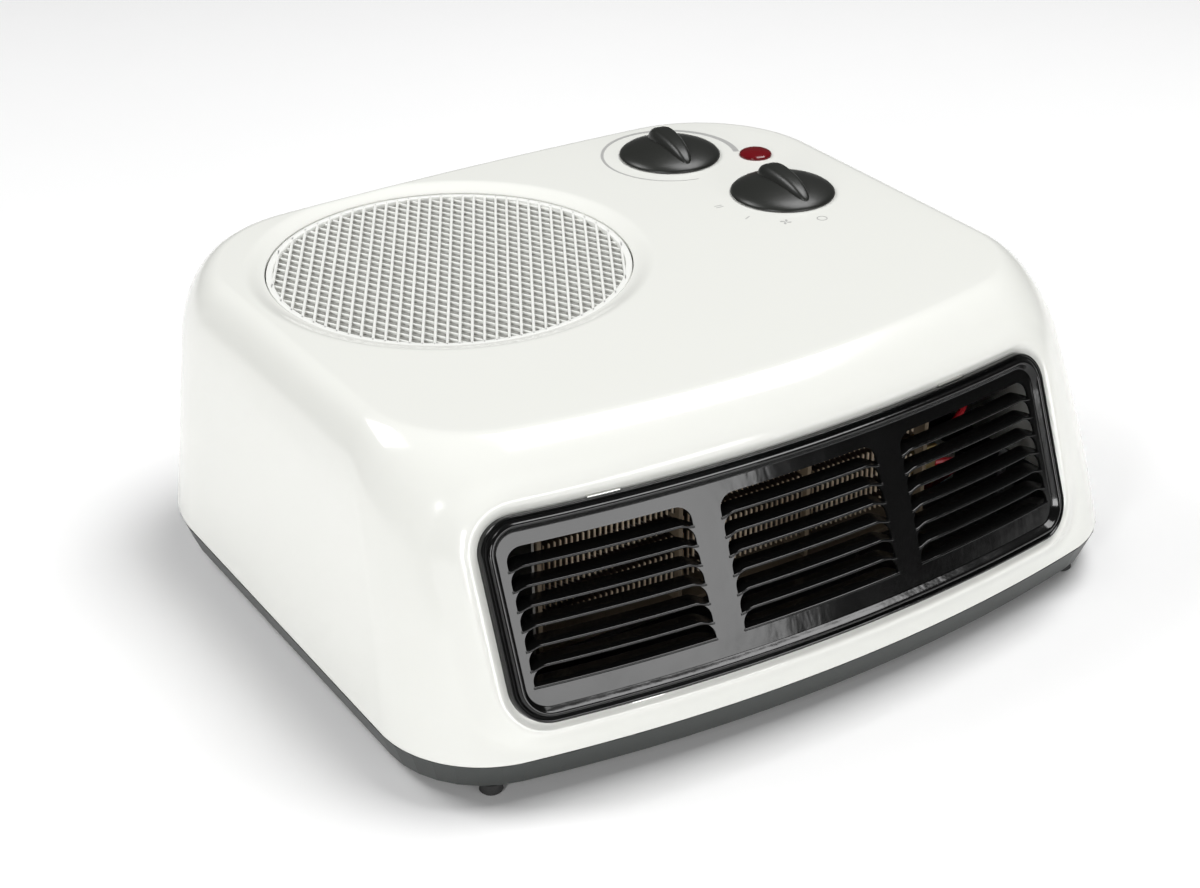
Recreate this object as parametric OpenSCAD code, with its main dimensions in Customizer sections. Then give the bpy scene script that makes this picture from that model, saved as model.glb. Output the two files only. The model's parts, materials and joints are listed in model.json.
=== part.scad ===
/* [Overall] */
// Width of the heater at the seam
body_w = 262; // [240:1:320]
// Depth of the heater at the seam, front bow to rear bow
body_d = 232.8; // [220:0.1:290]
// Height of the flat top above the floor
top_h = 99.1; // [97:0.1:130]
// Height of the seam between base and cover above the floor
seam_h = 14.2; // [12:0.1:17]
// Height of the rubber feet under the base
foot_h = 3.5; // [2:0.1:6]

/* [Cover shape] */
// Wall of the cover
cover_wall = 2.4; // [1.8:0.1:3]
// How far the sides lean in from seam to top
side_draft = 9.1; // [4:0.1:14]
// How far the front leans back from seam to top
front_draft = 26.4; // [20:0.1:30]
// How far the rear leans in from seam to top
rear_draft = 4; // [2:0.1:8]
// Bow of the front across its width
front_bow = 16.55; // [10:0.05:20]
// Bow of the rear across its width
rear_bow = 4.9; // [2:0.1:8]
// Radius of the two front corners at the seam
front_corner_r = 34.9; // [25:0.1:45]
// Radius of the two rear corners at the seam
rear_corner_r = 52.7; // [40:0.1:60]
// How far the rounded top edge reaches inward
edge_run = 11; // [6:0.5:14]
// How far the rounded top edge reaches down
edge_rise = 24; // [14:0.5:28]

/* [Base shape] */
// Floor and wall of the base
base_wall = 2.6; // [2:0.1:3.4]
// How far the base tapers in from the seam to its bottom
base_taper = 3.8; // [2:0.1:6]
// Diameter of a foot
foot_d = 7; // [6:0.5:12]
// Inset of the feet from the sides
foot_inset_x = 22.5; // [21:0.5:50]
// Inset of the feet from the front and rear bows
foot_inset_y = 21.5; // [20:0.5:45]

/* [Inlet] */
// Centre of the inlet, fan and motor from the middle of the body, to the right
inlet_x = -43.4; // [-50:0.1:-38]
// Centre of the inlet, fan and motor from the middle of the body, to the rear
inlet_y = 37.8; // [30:0.1:42]
// Radius of the inlet mesh
inlet_r = 58.7; // [54:0.1:62]
// How far the mesh lies below the flat top
inlet_dip = 2; // [1:0.1:3]
// Thickness of the mesh
mesh_t = 1.6; // [1.2:0.1:2]
// Pitch between neighbouring mesh bars
mesh_pitch = 3.72; // [3.4:0.01:6]
// Width of a mesh bar
mesh_bar = 0.9; // [0.7:0.1:1.4]
// Angle of the mesh bars from the width of the body
mesh_angle = 60; // [50:1:65]
// Thickness of the filter screen
filter_t = 0.6; // [0.4:0.1:1]

/* [Outlet grille] */
// Centre of the grille from the middle of the body
grille_x = -5; // [-8:0.5:8]
// Width of the grille
grille_w = 201.4; // [180:0.1:202]
// Length of the grille up its slope
grille_l = 59.8; // [56:0.1:61]
// Height of the grille's middle above the floor
grille_mid_z = 54.25; // [52:0.1:56]
// Angle by which the grille leans back
grille_lean = 21.8; // [18:0.1:24]
// Radius of the grille's corners
grille_corner_r = 11; // [8:0.5:14]
// Thickness of the pressed sheet
sheet_t = 1; // [0.8:0.1:1.2]
// Width of the raised rim
rim_w = 5; // [4:0.1:6]
// How far the rim stands in front of the field
rim_proud = 2; // [1:0.1:2.5]
// Number of louvres in a bank
louvre_count = 7; // [5:1:8]
// Pitch of the louvres up the slope
louvre_pitch = 5.74; // [5:0.02:5.9]
// Width of a bank of louvres
bank_w = 56.1; // [40:0.1:58]
// Pitch of the three banks
bank_pitch = 65.5; // [62:0.1:66]
// Depth of a slat
slat_depth = 5; // [3:0.1:5.4]
// Angle by which a slat rises inward from straight behind the sheet
slat_rise = 25; // [10:1:38]
// Thickness of a slat
slat_t = 0.8; // [0.6:0.1:1]

/* [Heating element] */
// Width of the element between its end boards
element_w = 142; // [120:1:146]
// Depth of the element
element_d = 18; // [14:0.5:20]
// Height of the element
element_h = 54; // [48:0.5:56]
// Left end of the element from the middle of the body
element_left = -84; // [-86:1:-76]
// Front face of the element from the middle of the body
element_front = -82; // [-84:0.5:-78]
// Bottom of the element above the floor
element_z = 29; // [26:0.5:31]
// Thickness of the mica boards
mica_t = 1.4; // [1:0.1:2]
// Number of ribbon rows
ribbon_rows = 7; // [4:1:8]
// Pitch of the ribbon rows
ribbon_pitch = 5.8; // [5.2:0.1:6.4]
// Height of a ribbon
ribbon_h = 3.6; // [2.5:0.1:4.2]
// Pitch of the folds of a ribbon
fold_pitch = 1.9; // [1.6:0.1:3]
// Thickness of a ribbon
ribbon_t = 0.3; // [0.25:0.05:0.5]

/* [Fan and motor] */
// Radius of the impeller
impeller_r = 46; // [40:0.5:48]
// Height of the impeller
impeller_h = 34; // [24:1:35]
// Number of impeller blades
blade_count = 28; // [16:1:36]
// Diameter of the motor shaft
shaft_d = 4; // [3:0.5:5]
// Running clearance of the shaft in its bushes, on the radius
shaft_gap = 0.04; // [0.02:0.01:0.08]
// Diameter of the rotor core
rotor_d = 25; // [20:0.5:26]
// Air gap between rotor and stator, on the radius
air_gap = 0.4; // [0.3:0.05:0.6]
// Height of the lamination stack
stack_h = 18; // [12:1:20]
// Bottom of the lamination stack above the floor
stack_z = 18; // [17:0.5:20]

/* [Controls] */
// Diameter of both knobs
knob_d = 35.8; // [30:0.1:38]
// Height of a knob's grip above the top
knob_h = 10; // [8:0.1:14]
// Centre of the thermostat knob, to the right
dial_x = 65.5; // [62:0.1:67]
// Centre of the thermostat knob, to the rear
dial_y = 72.6; // [71:0.1:74]
// Centre of the selector knob, to the right
switch_x = 78.4; // [76:0.1:80]
// Centre of the selector knob, to the rear
switch_y = 23; // [18:0.1:25]
// Diameter of both control shafts
spindle_d = 6; // [5:0.1:6.5]
// Running clearance of the control shafts, on the radius
spindle_gap = 0.05; // [0.02:0.01:0.08]
// Centre of the pilot lamp, to the right
lamp_x = 91; // [88:0.1:93]
// Centre of the pilot lamp, to the rear
lamp_y = 56; // [54:0.1:58]
// Diameter of the pilot lamp
lamp_d = 11.4; // [8:0.1:12]

/* [Mains entry] */
// Centre of the cord entry, to the right
entry_x = 60; // [50:1:70]
// Height of the cord entry above the floor
entry_z = 27; // [25:0.5:32]
// Bore of the cord gland
entry_bore = 7.6; // [6:0.1:8.4]

/* [Hidden] */

$fn = 48;
eps = 0.01;
// Gap left between pieces that are assembled with play
play = 0.3;

// ---- outline of the body -------------------------------------------------------------
half_w = body_w / 2;
front_level = body_d / 2 - front_bow;
rear_level = body_d / 2 - rear_bow;
corner_steps = 7;
bow_steps = 8;
front_corner_growth = 7.8;

// Points from the left side round one corner to the middle of the bowed side
function corner_points(a, level, bow, r) =
    let (
        bow_r = (a * a + bow * bow) / (2 * bow),
        bow_y = bow_r - level - bow,
        cx = r - a,
        cy = bow_y - sqrt(pow(bow_r - r, 2) - cx * cx),
        turn = atan2(cy - bow_y, cx) + 360
    )
    concat(
        [for (i = [0:corner_steps]) let (t = 180 + (turn - 180) * i / corner_steps) [cx + r * cos(t), cy + r * sin(t)]],
        [for (i = [1:bow_steps]) let (t = turn + (270 - turn) * i / bow_steps) [bow_r * cos(t), bow_y + bow_r * sin(t)]]
    );

// Closed outline, anticlockwise from above
function outline(a, front, rear, front_r, rear_r) =
    let (
        f = corner_points(a, front, front_bow, front_r),
        b = corner_points(a, rear, rear_bow, rear_r),
        n = len(f)
    )
    concat(
        f,
        [for (i = [n - 2:-1:0]) [-f[i][0], f[i][1]]],
        [for (i = [0:n - 1]) [-b[i][0], -b[i][1]]],
        [for (i = [n - 2:-1:0]) [b[i][0], -b[i][1]]]
    );

// Share of the way from seam to top
function climb(z) = (z - seam_h) / (top_h - seam_h);
function front_inset(z) = front_draft * (0.586 * climb(z) + 0.414 * pow(climb(z), 2));

// Outline of the cover at height z, moved inward by inset
function cover_ring(z, inset) =
    let (t = climb(z))
    [for (p = outline(
        half_w - side_draft * t - inset,
        front_level - front_inset(z) - inset,
        rear_level - rear_draft * t - inset,
        front_corner_r + front_corner_growth * t - inset,
        rear_corner_r - inset
    )) [p[0], p[1], z]];

// Rings up the wall and over the rounded edge, at depth under the outer surface
function cover_rings(depth, start) =
    let (spring = top_h - edge_rise, wall_steps = 5, edge_steps = 7)
    concat(
        [for (i = [0:wall_steps]) cover_ring(start + (spring - start) * i / wall_steps, depth)],
        [for (i = [1:edge_steps]) let (t = 90 * i / edge_steps)
            let (
                rise = (edge_rise - depth) * sin(t),
                run = depth + (edge_run - depth) * (1 - cos(t))
            )
            [for (p = cover_ring(spring + rise, run)) [p[0], p[1], spring + rise]]]
    );

// Outline of the base at height z, moved inward by inset
function base_ring(z, inset) =
    let (t = (seam_h - z) / (seam_h - foot_h), shrink = base_taper * t + inset)
    [for (p = outline(
        half_w - shrink,
        front_level - shrink,
        rear_level - shrink,
        front_corner_r - shrink,
        rear_corner_r - shrink
    )) [p[0], p[1], z]];

// ---- meshes from rings -----------------------------------------------------------------
function join_rings(low, high, n, outward) = [
    for (i = [0:n - 1])
        let (
            j = (i + 1) % n,
            a = [high + i, high + j, low + j],
            b = [high + i, low + j, low + i]
        )
        each outward ? [a, b] : [[a[2], a[1], a[0]], [b[2], b[1], b[0]]]
];
function flat(lists) = [for (l = lists) each l];
function run_of(start, n) = [for (i = [0:n - 1]) start + i];
function reversed(list) = [for (i = [len(list) - 1:-1:0]) list[i]];

// Shell between outer and inner rings. The rings climb, and the shell is closed at the
// top when closed_top is true and at the bottom when it is not.
module shell(outer, inner, closed_top) {
    n = len(outer[0]);
    outer_n = len(outer);
    inner_n = len(inner);
    inner_at = outer_n * n;
    open_outer = closed_top ? 0 : (outer_n - 1) * n;
    open_inner = inner_at + (closed_top ? 0 : (inner_n - 1) * n);
    shut_outer = closed_top ? (outer_n - 1) * n : 0;
    shut_inner = inner_at + (closed_top ? (inner_n - 1) * n : 0);
    walls = concat(
        flat([for (k = [0:outer_n - 2]) join_rings(k * n, (k + 1) * n, n, true)]),
        flat([for (k = [0:inner_n - 2]) join_rings(inner_at + k * n, inner_at + (k + 1) * n, n, false)])
    );
    rim = join_rings(open_inner, open_outer, n, closed_top);
    caps = closed_top
        ? [reversed(run_of(shut_outer, n)), run_of(shut_inner, n)]
        : [run_of(shut_outer, n), reversed(run_of(shut_inner, n))];
    polyhedron(
        points = concat(flat(outer), flat(inner)),
        faces = concat(walls, rim, caps),
        convexity = 6
    );
}

// Tube of radius r along a list of points, closed at both ends
module wire(path, r) {
    sides = 8;
    n = len(path);
    function heading(i) =
        let (a = path[max(i - 1, 0)], b = path[min(i + 1, n - 1)], d = b - a)
        d / norm(d);
    function across(h) =
        let (up = abs(h[2]) < 0.9 ? [0, 0, 1] : [0, 1, 0], c = cross(up, h))
        c / norm(c);
    points = [
        for (i = [0:n - 1])
            let (h = heading(i), u = across(h), v = cross(h, u))
            for (k = [0:sides - 1])
                path[i] + r * (u * cos(360 * k / sides) + v * sin(360 * k / sides))
    ];
    polyhedron(
        points = points,
        faces = concat(
            flat([for (i = [0:n - 2]) join_rings(i * sides, (i + 1) * sides, sides, true)]),
            [run_of(0, sides), reversed(run_of((n - 1) * sides, sides))]
        )
    );
}

// Smooth path through a few guide points
function smooth(points, steps = 4) = [
    for (i = [0:len(points) - 2])
        let (
            p0 = points[max(i - 1, 0)],
            p1 = points[i],
            p2 = points[i + 1],
            p3 = points[min(i + 2, len(points) - 1)]
        )
        for (k = [0:(i == len(points) - 2 ? steps : steps - 1)])
            let (t = k / steps)
            0.5 * (2 * p1 + (p2 - p0) * t + (2 * p0 - 5 * p1 + 4 * p2 - p3) * t * t
                + (3 * p1 - p0 - 3 * p2 + p3) * t * t * t)
];

// ---- small shapes --------------------------------------------------------------------------
module tube(r_out, r_in, h) {
    difference() {
        cylinder(r = r_out, h = h);
        translate([0, 0, -1])
            cylinder(r = r_in, h = h + 2);
    }
}

// Box by its lowest corner and its highest corner
module span(a, b) {
    translate(a)
        cube(b - a);
}

// Rounded rectangle about its centre, as points
function rounded_rect(w, l, r, steps = 6) = [
    for (q = [0:3])
        for (i = [0:steps])
            let (
                t = 90 * q + 90 * i / steps,
                cx = (q == 0 || q == 3 ? 1 : -1) * (w / 2 - r),
                cy = (q < 2 ? 1 : -1) * (l / 2 - r)
            )
            [cx + r * cos(t), cy + r * sin(t)]
];

// ---- places that several pieces share ------------------------------------------------------
base_floor = foot_h + base_wall;
ceiling = top_h - cover_wall;
foot_front_x = half_w - foot_inset_x;
foot_front_y = foot_inset_y - body_d / 2;
// The rear corners are rounder, so the rear feet stand further in
foot_rear_x = foot_front_x - 10;
foot_rear_y = body_d / 2 - foot_inset_y - 12;
FEET = [
    [-foot_front_x, foot_front_y], [foot_front_x, foot_front_y],
    [-foot_rear_x, foot_rear_y], [foot_rear_x, foot_rear_y]
];

// Posts for the cover screws
post_x = half_w - 21;
post_front_y = -62;
post_rear_y = 30;
POSTS = [[-post_x, post_front_y], [post_x, post_front_y], [-post_x, post_rear_y], [post_x, post_rear_y]];
cover_screw_d = 3.5;
post_r = 4.5;
post_h = 30;

mesh_top = top_h - inlet_dip;
mesh_z = mesh_top - mesh_t;
filter_z = mesh_z - filter_t;
ledge_z = filter_z - 1.4;
ledge_w = 2.4;

// The scroll and its lid
lid_top = ledge_z - 3;
lid_t = 1.6;
scroll_t = 1.8;
plate_z = stack_z + stack_h + 9;
plate_top = plate_z + scroll_t;
lid_z = lid_top - lid_t;
impeller_gap = 3;
impeller_z = plate_top + impeller_gap;
impeller_top = impeller_z + impeller_h;
lid_hole_r = impeller_r - 5;
tongue_angle = -35;
scroll_start_r = impeller_r + 4;
scroll_growth = 18;
duct_y = -40;
duct_left = -92;
duct_right = 32;
element_right = element_left + element_w;
element_back = element_front + element_d;
element_top = element_z + element_h;
shield_t = 0.8;
shield_gap = 1;
shield_left = element_left - shield_gap;
shield_right = element_right + shield_gap;
shield_back = element_back + 2;
shield_low = element_z - shield_gap;
shield_high = element_top + shield_gap;

// ---- base -------------------------------------------------------------------------------
SCROLL_POSTS = [[-110.5, 64.5], [14, 72], [-84, -31], [16, -31]];
scroll_post_r = 5;
scroll_screw_d = 3;

module base_pan() {
    color([0.27, 0.28, 0.28])
    difference() {
        union() {
            shell(
                [base_ring(foot_h, 2), base_ring(foot_h + 2, 0), base_ring(seam_h, 0)],
                [base_ring(base_floor, base_wall), base_ring(seam_h, base_wall)],
                false
            );
            for (p = POSTS)
                translate([p[0], p[1], base_floor - 1])
                    cylinder(r = post_r, h = seam_h - base_floor + 1);
            for (p = SCROLL_POSTS)
                translate([p[0], p[1], base_floor - 1])
                    cylinder(r = scroll_post_r, h = plate_z - base_floor + 1);
            // shelf that the cord clamp is screwed to
            span([entry_x - 16, body_d / 2 - 34, base_floor - 1], [entry_x + 16, body_d / 2 - 22, clamp_z]);
            // pads for the terminal block
            span([block_x - 20, block_y - 9, base_floor - 1], [block_x + 20, block_y + 9, block_z]);
        }
        for (p = POSTS) {
            translate([p[0], p[1], 0])
                cylinder(r = cover_screw_d / 2 + 0.2, h = 40);
            translate([p[0], p[1], foot_h - 1])
                cylinder(r = 3.8, h = 3.4);
        }
        for (p = SCROLL_POSTS)
            translate([p[0], p[1], plate_z - 10])
                cylinder(r = scroll_screw_d / 2, h = 20);
        for (p = FEET)
            translate([p[0], p[1], 0])
                cylinder(r = foot_stem_r, h = 20);
        // slots that let a little cooling air in under the motor
        for (i = [-3:3])
            span([inlet_x - 14, inlet_y + 6 * i - 1, 0], [inlet_x + 14, inlet_y + 6 * i + 1, base_floor + 1]);
        for (s = [-1, 1])
            translate([entry_x + s * 10, clamp_y, base_floor + 1])
                cylinder(r = 1.3, h = 30);
        for (s = [-1, 1])
            translate([block_x + s * 14, block_y, base_floor - 1])
                cylinder(r = 1.3, h = 30);
    }
}

// Rubber foot: a flared pad and a stem pressed into the base
foot_stem_r = 2.4;
module rubber_feet() {
    color([0.12, 0.12, 0.12])
    for (p = FEET)
        translate([p[0], p[1], 0]) {
            rotate_extrude()
                polygon([
                    [0, 0], [foot_d / 2 - 0.6, 0], [foot_d / 2, 0.6], [foot_d / 2 - 0.3, foot_h],
                    [foot_stem_r, foot_h], [foot_stem_r, base_floor + 0.2], [foot_stem_r + 0.5, base_floor + 0.2],
                    [foot_stem_r - 0.4, base_floor + 2.4], [0, base_floor + 2.4]
                ]);
        }
}

// ---- cover ------------------------------------------------------------------------------
bush_r = 4.8;
module top_cover() {
    collar_r = inlet_r + play + 2;
    color([0.95, 0.95, 0.93])
    difference() {
        union() {
            shell(cover_rings(0, seam_h), cover_rings(cover_wall, seam_h), true);
            // collar and ledge that carry the inlet mesh
            translate([inlet_x, inlet_y, ledge_z])
                cylinder(r = collar_r, h = top_h - ledge_z - 0.8);
            for (p = POSTS)
                cover_post(p);
        }
        translate([inlet_x, inlet_y, filter_z])
            cylinder(r = inlet_r + play, h = 20);
        translate([inlet_x, inlet_y, ledge_z - 1])
            cylinder(r = inlet_r - ledge_w, h = 20);
        grille_prism(grille_w + 2 * play, grille_h + 2 * play, grille_corner_r + play, -25, 34);
        // holes for the two shafts and the lamp
        translate([dial_x, dial_y, ceiling - 1])
            cylinder(r = bush_r + 0.2, h = 10);
        translate([switch_x, switch_y, ceiling - 1])
            cylinder(r = bush_r + 0.2, h = 10);
        translate([lamp_x, lamp_y, ceiling - 1])
            cylinder(r = lamp_d / 2 - 0.6, h = 10);
        for (s = SELECTOR_SCREWS)
            translate([s[0], s[1], ceiling - 1])
                cylinder(r = 1.3, h = 2);
        // cord entry
        translate([entry_x, 0, entry_z])
            rotate([-90, 0, 0])
                cylinder(r = gland_neck_r, h = body_d);
        for (p = POSTS)
            translate([p[0], p[1], 0])
                cylinder(r = cover_screw_d / 2 - 0.3, h = seam_h + post_h - 4);
    }
}

// Screw post tied by a rib to the side wall of the cover
module cover_post(p) {
    side = p[0] > 0 ? 1 : -1;
    wall_low = half_w - cover_wall / 2;
    wall_high = wall_low - side_draft * climb(seam_h + post_h);
    translate([p[0], p[1], seam_h])
        cylinder(r = post_r, h = post_h);
    translate([0, p[1] + 1.2, 0])
        rotate([90, 0, 0])
            linear_extrude(2.4)
                polygon([
                    [side * post_x, seam_h], [side * wall_low, seam_h],
                    [side * wall_high, seam_h + post_h], [side * post_x, seam_h + post_h]
                ]);
}

module cover_screws() {
    color("silver")
    for (p = POSTS)
        translate([p[0], p[1], foot_h + 0.6]) {
            cylinder(r = 3.2, h = 1.8);
            cylinder(r = cover_screw_d / 2 - 0.3, h = 24);
        }
}

// ---- inlet ------------------------------------------------------------------------------
// One layer of parallel bars with its rim, half the thickness of the mesh
module mesh_layer(angle) {
    rim = 2.2;
    count = floor((inlet_r - rim) / mesh_pitch);
    tube(inlet_r, inlet_r - rim, mesh_t / 2);
    rotate([0, 0, angle])
        for (i = [-count:count])
            translate([-sqrt(pow(inlet_r - rim / 2, 2) - pow(i * mesh_pitch, 2)), i * mesh_pitch - mesh_bar / 2, 0])
                cube([2 * sqrt(pow(inlet_r - rim / 2, 2) - pow(i * mesh_pitch, 2)), mesh_bar, mesh_t / 2]);
}

// Two layers of bars that cross: the upper one runs at +mesh_angle, the lower at -mesh_angle
module inlet_mesh() {
    color([0.96, 0.96, 0.95])
    translate([inlet_x, inlet_y, mesh_z]) {
        translate([0, 0, mesh_t / 2])
            mesh_layer(mesh_angle);
        mesh_layer(-mesh_angle);
    }
}

module inlet_filter() {
    color([0.72, 0.72, 0.70])
    translate([inlet_x, inlet_y, filter_z])
        cylinder(r = inlet_r, h = filter_t, $fn = 96);
}

// ---- outlet grille --------------------------------------------------------------------------
// Depth of the field's surface at the grille's middle height, a little behind the cover's bow
field_set_back = 0.6;
grille_y = field_set_back - (body_d / 2 - front_inset(grille_mid_z));
// Foremost point of the rim
grille_front = grille_y - rim_proud / cos(grille_lean) - grille_l / 2 * sin(grille_lean);
// Radius of the bow at the grille's middle height
front_bow_r = (half_w * half_w + front_bow * front_bow) / (2 * front_bow);
// Height of the grille, measured straight up
grille_h = grille_l * cos(grille_lean);

// Prism with the grille's outline that runs straight back, between two depths from the sheet's face
module grille_prism(w, h, r, from, to) {
    translate([grille_x, grille_y + to, grille_mid_z])
        rotate([90, 0, 0])
            linear_extrude(to - from)
                polygon(rounded_rect(w, h, r));
}

// Leaning sheet, bowed about an upright axis, whose front lies at depth behind the grille's face
module bowed_sheet(depth, t) {
    reach = 40;
    fall = reach * tan(grille_lean);
    outer = front_bow_r - depth / cos(grille_lean);
    inner = outer - t / cos(grille_lean);
    about_bow()
        rotate_extrude($fn = 180)
            polygon([[inner + fall, -reach], [outer + fall, -reach], [outer - fall, reach], [inner - fall, reach]]);
}

// Upright axis of the bow, at the grille's middle height
module about_bow() {
    translate([0, grille_y + front_bow_r, grille_mid_z])
        children();
}

// How far the rim reaches behind the sheet
rim_back = 3;

// Height of the lip of louvre i from the grille's middle
function lip(i) = (-grille_l / 2 + 11.1 + i * louvre_pitch) * cos(grille_lean);

// Opening with a straight lip and rounded upper corners
function louvre_points(w, h, r, steps = 5) = concat(
    [[-w / 2, 0], [w / 2, 0]],
    [for (i = [0:steps]) [w / 2 - r + r * cos(90 * i / steps), h - r * 0.9 + r * 0.9 * sin(90 * i / steps)]],
    [for (i = [steps:-1:0]) [-w / 2 + r - r * cos(90 * i / steps), h - r * 0.9 + r * 0.9 * sin(90 * i / steps)]]
);

module outlet_grille() {
    opening_h = (louvre_pitch - 0.25) * cos(grille_lean);
    color([0.05, 0.05, 0.05]) {
        difference() {
            union() {
                intersection() {
                    bowed_sheet(0, sheet_t);
                    grille_prism(grille_w - 1, grille_h - 1, grille_corner_r - 0.5, -30, 40);
                }
                difference() {
                    intersection() {
                        bowed_sheet(-rim_proud, rim_proud + sheet_t + rim_back);
                        grille_prism(grille_w, grille_h, grille_corner_r, -30, 40);
                    }
                    grille_prism(grille_w - 2 * rim_w, grille_h - 2 * rim_w, grille_corner_r - rim_w, -32, 42);
                }
            }
            for (b = [-1:1])
                for (i = [0:louvre_count - 1])
                    translate([grille_x + b * bank_pitch, grille_y + 40, grille_mid_z + lip(i)])
                        rotate([90, 0, 0])
                            linear_extrude(70)
                                polygon(louvre_points(bank_w, opening_h, 5));
        }
        for (b = [-1:1])
            intersection() {
                louvre_slats();
                span(
                    [grille_x + b * bank_pitch - bank_w / 2 - 0.6, grille_y - 30, grille_mid_z - grille_h / 2],
                    [grille_x + b * bank_pitch + bank_w / 2 + 0.6, grille_y + 40, grille_mid_z + grille_h / 2]
                );
            }
    }
}

// Slats that run inward from the lips above each opening, following the bow of the sheet
module louvre_slats() {
    tilt = slat_rise - grille_lean;
    run = slat_depth * cos(tilt);
    rise = slat_depth * sin(tilt);
    about_bow()
        for (i = [1:louvre_count - 1]) {
            z = lip(i);
            r = front_bow_r - z * tan(grille_lean) - 0.1;
            rotate_extrude($fn = 180)
                polygon([[r - run, z + rise - slat_t], [r, z - slat_t], [r, z], [r - run, z + rise]]);
        }
}

// Spring clips: a leaf in the gap round the rim, bent over the back of the rim
module grille_clips() {
    back = sheet_t + rim_back;
    color([0.6, 0.6, 0.58])
    for (sx = [-1, 1])
        for (sz = [-1, 1]) {
            edge = sz * grille_h / 2;
            clip_part(sx * 62, edge, edge + sz * play, 0, back + 0.7);
            clip_part(sx * 62, edge - sz * 4, edge + sz * play, back + 0.1, 0.6);
        }
}

// Piece of a clip between two heights, cut from a bowed sheet
module clip_part(x, a, b, depth, t) {
    intersection() {
        bowed_sheet(depth, t);
        span(
            [grille_x + x - 5, grille_y - 30, grille_mid_z + min(a, b)],
            [grille_x + x + 5, grille_y + 40, grille_mid_z + max(a, b)]
        );
    }
}

// ---- heating element ------------------------------------------------------------------------
module element_frame() {
    color([0.62, 0.55, 0.42])
    difference() {
        union() {
            span([element_left, element_front, element_z], [element_right, element_back, element_z + mica_t]);
            span([element_left, element_front, element_top - mica_t], [element_right, element_back, element_top]);
            for (x = BOARDS)
                span([x, element_front, element_z], [x + mica_t, element_back, element_top]);
        }
        for (x = [BOARDS[1], BOARDS[2]])
            for (i = [0:ribbon_rows - 1])
                span(
                    [x - 1, ribbon_y - fold_depth / 2 - play, ribbon_z(i)],
                    [x + mica_t + 1, ribbon_y + fold_depth / 2 + play, ribbon_z(i) + ribbon_h + play]
                );
        // stub tails of the ribbons pass through the right end board
        for (i = [0:ribbon_rows - 1])
            span(
                [element_right - mica_t - 1, ribbon_y - 1, ribbon_z(i) + 0.4],
                [element_right + 1, ribbon_y + 1, ribbon_z(i) + ribbon_h - 0.4]
            );
    }
}
BOARDS = [
    element_left,
    element_left + element_w * 0.34,
    element_left + element_w * 0.67,
    element_right - mica_t
];
fold_depth = 5;
ribbon_y = element_front + 5;
ribbon_low = (element_h - (ribbon_rows - 1) * ribbon_pitch - ribbon_h) / 2;
function ribbon_z(i) = element_z + ribbon_low + i * ribbon_pitch;

// Corrugated strip as one zigzag outline
module heating_ribbons() {
    start = element_left + mica_t + 1.5;
    end = element_right - mica_t - 1.5;
    folds = 2 * floor((end - start) / fold_pitch);
    step = (end - start) / folds;
    zig = fold_depth / 2 - ribbon_t;
    near = [for (i = [0:folds]) [start + i * step, ribbon_y + (i % 2 == 0 ? zig : -zig) - ribbon_t]];
    far = [for (i = [folds:-1:0]) [start + i * step, ribbon_y + (i % 2 == 0 ? zig : -zig) + ribbon_t]];
    color([0.55, 0.50, 0.42])
    for (i = [0:ribbon_rows - 1])
        translate([0, 0, ribbon_z(i)])
            linear_extrude(ribbon_h)
                polygon(concat(near, far));
}

// Rivet and tab at the end of each ribbon
module element_terminals() {
    color([0.75, 0.70, 0.55])
    for (i = [0:ribbon_rows - 1])
        translate([element_right, ribbon_y, ribbon_z(i)]) {
            span([-mica_t - 0.5, -0.6, 0.8], [8, 0.6, ribbon_h - 0.8]);
            span([0, -1.8, 0.4], [1, 1.8, ribbon_h - 0.4]);
        }
}

// Bimetal cut-out on the rear of the element's right end board
module thermal_cutout() {
    color([0.25, 0.2, 0.15])
    translate([element_right, element_back - 6.2, element_z + 12])
        rotate([0, 90, 0]) {
            cylinder(r = 4.6, h = 3);
            translate([0, 0, 3])
                cylinder(r = 4, h = 1.5);
        }
}

module thermal_fuse() {
    color([0.8, 0.8, 0.78])
    translate([element_right, element_back - 9, element_top - 16]) {
        translate([2, 0, 0])
            rotate([0, 90, 0])
                cylinder(r = 2, h = 9);
        translate([0, -1.5, -1.5])
            cube([2, 3, 3]);
    }
}

// Steel sleeve round the element
module heat_shield() {
    color([0.7, 0.7, 0.69])
    difference() {
        span([shield_left - shield_t, element_front, shield_low - shield_t],
            [shield_right + shield_t, shield_back, shield_high + shield_t]);
        span([shield_left, element_front - 1, shield_low], [shield_right, shield_back + 1, shield_high]);
        // the right wall is open for the terminals, the cut-out and the fuse
        span([shield_right - 1, element_front - 1, element_z + 2], [shield_right + 5, element_back, element_top - 2]);
    }
    color([0.7, 0.7, 0.69])
    for (x = [shield_left + 8, shield_right - 16])
        span([x, element_back - 6, base_floor], [x + 8, element_back - 4.8, shield_low - shield_t + eps]);
}

// ---- scroll and duct ------------------------------------------------------------------------
// Spiral from the tongue round the rear to the left side, then straight to the front
function scroll_points(grow) = concat(
    [[duct_left - grow, duct_y], [duct_right + grow, duct_y]],
    [for (i = [0:24])
        let (
            t = i / 24,
            a = tongue_angle + (180 - tongue_angle) * t,
            r = scroll_start_r + scroll_growth * t + grow
        )
        [inlet_x + r * cos(a), inlet_y + r * sin(a)]]
);

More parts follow.
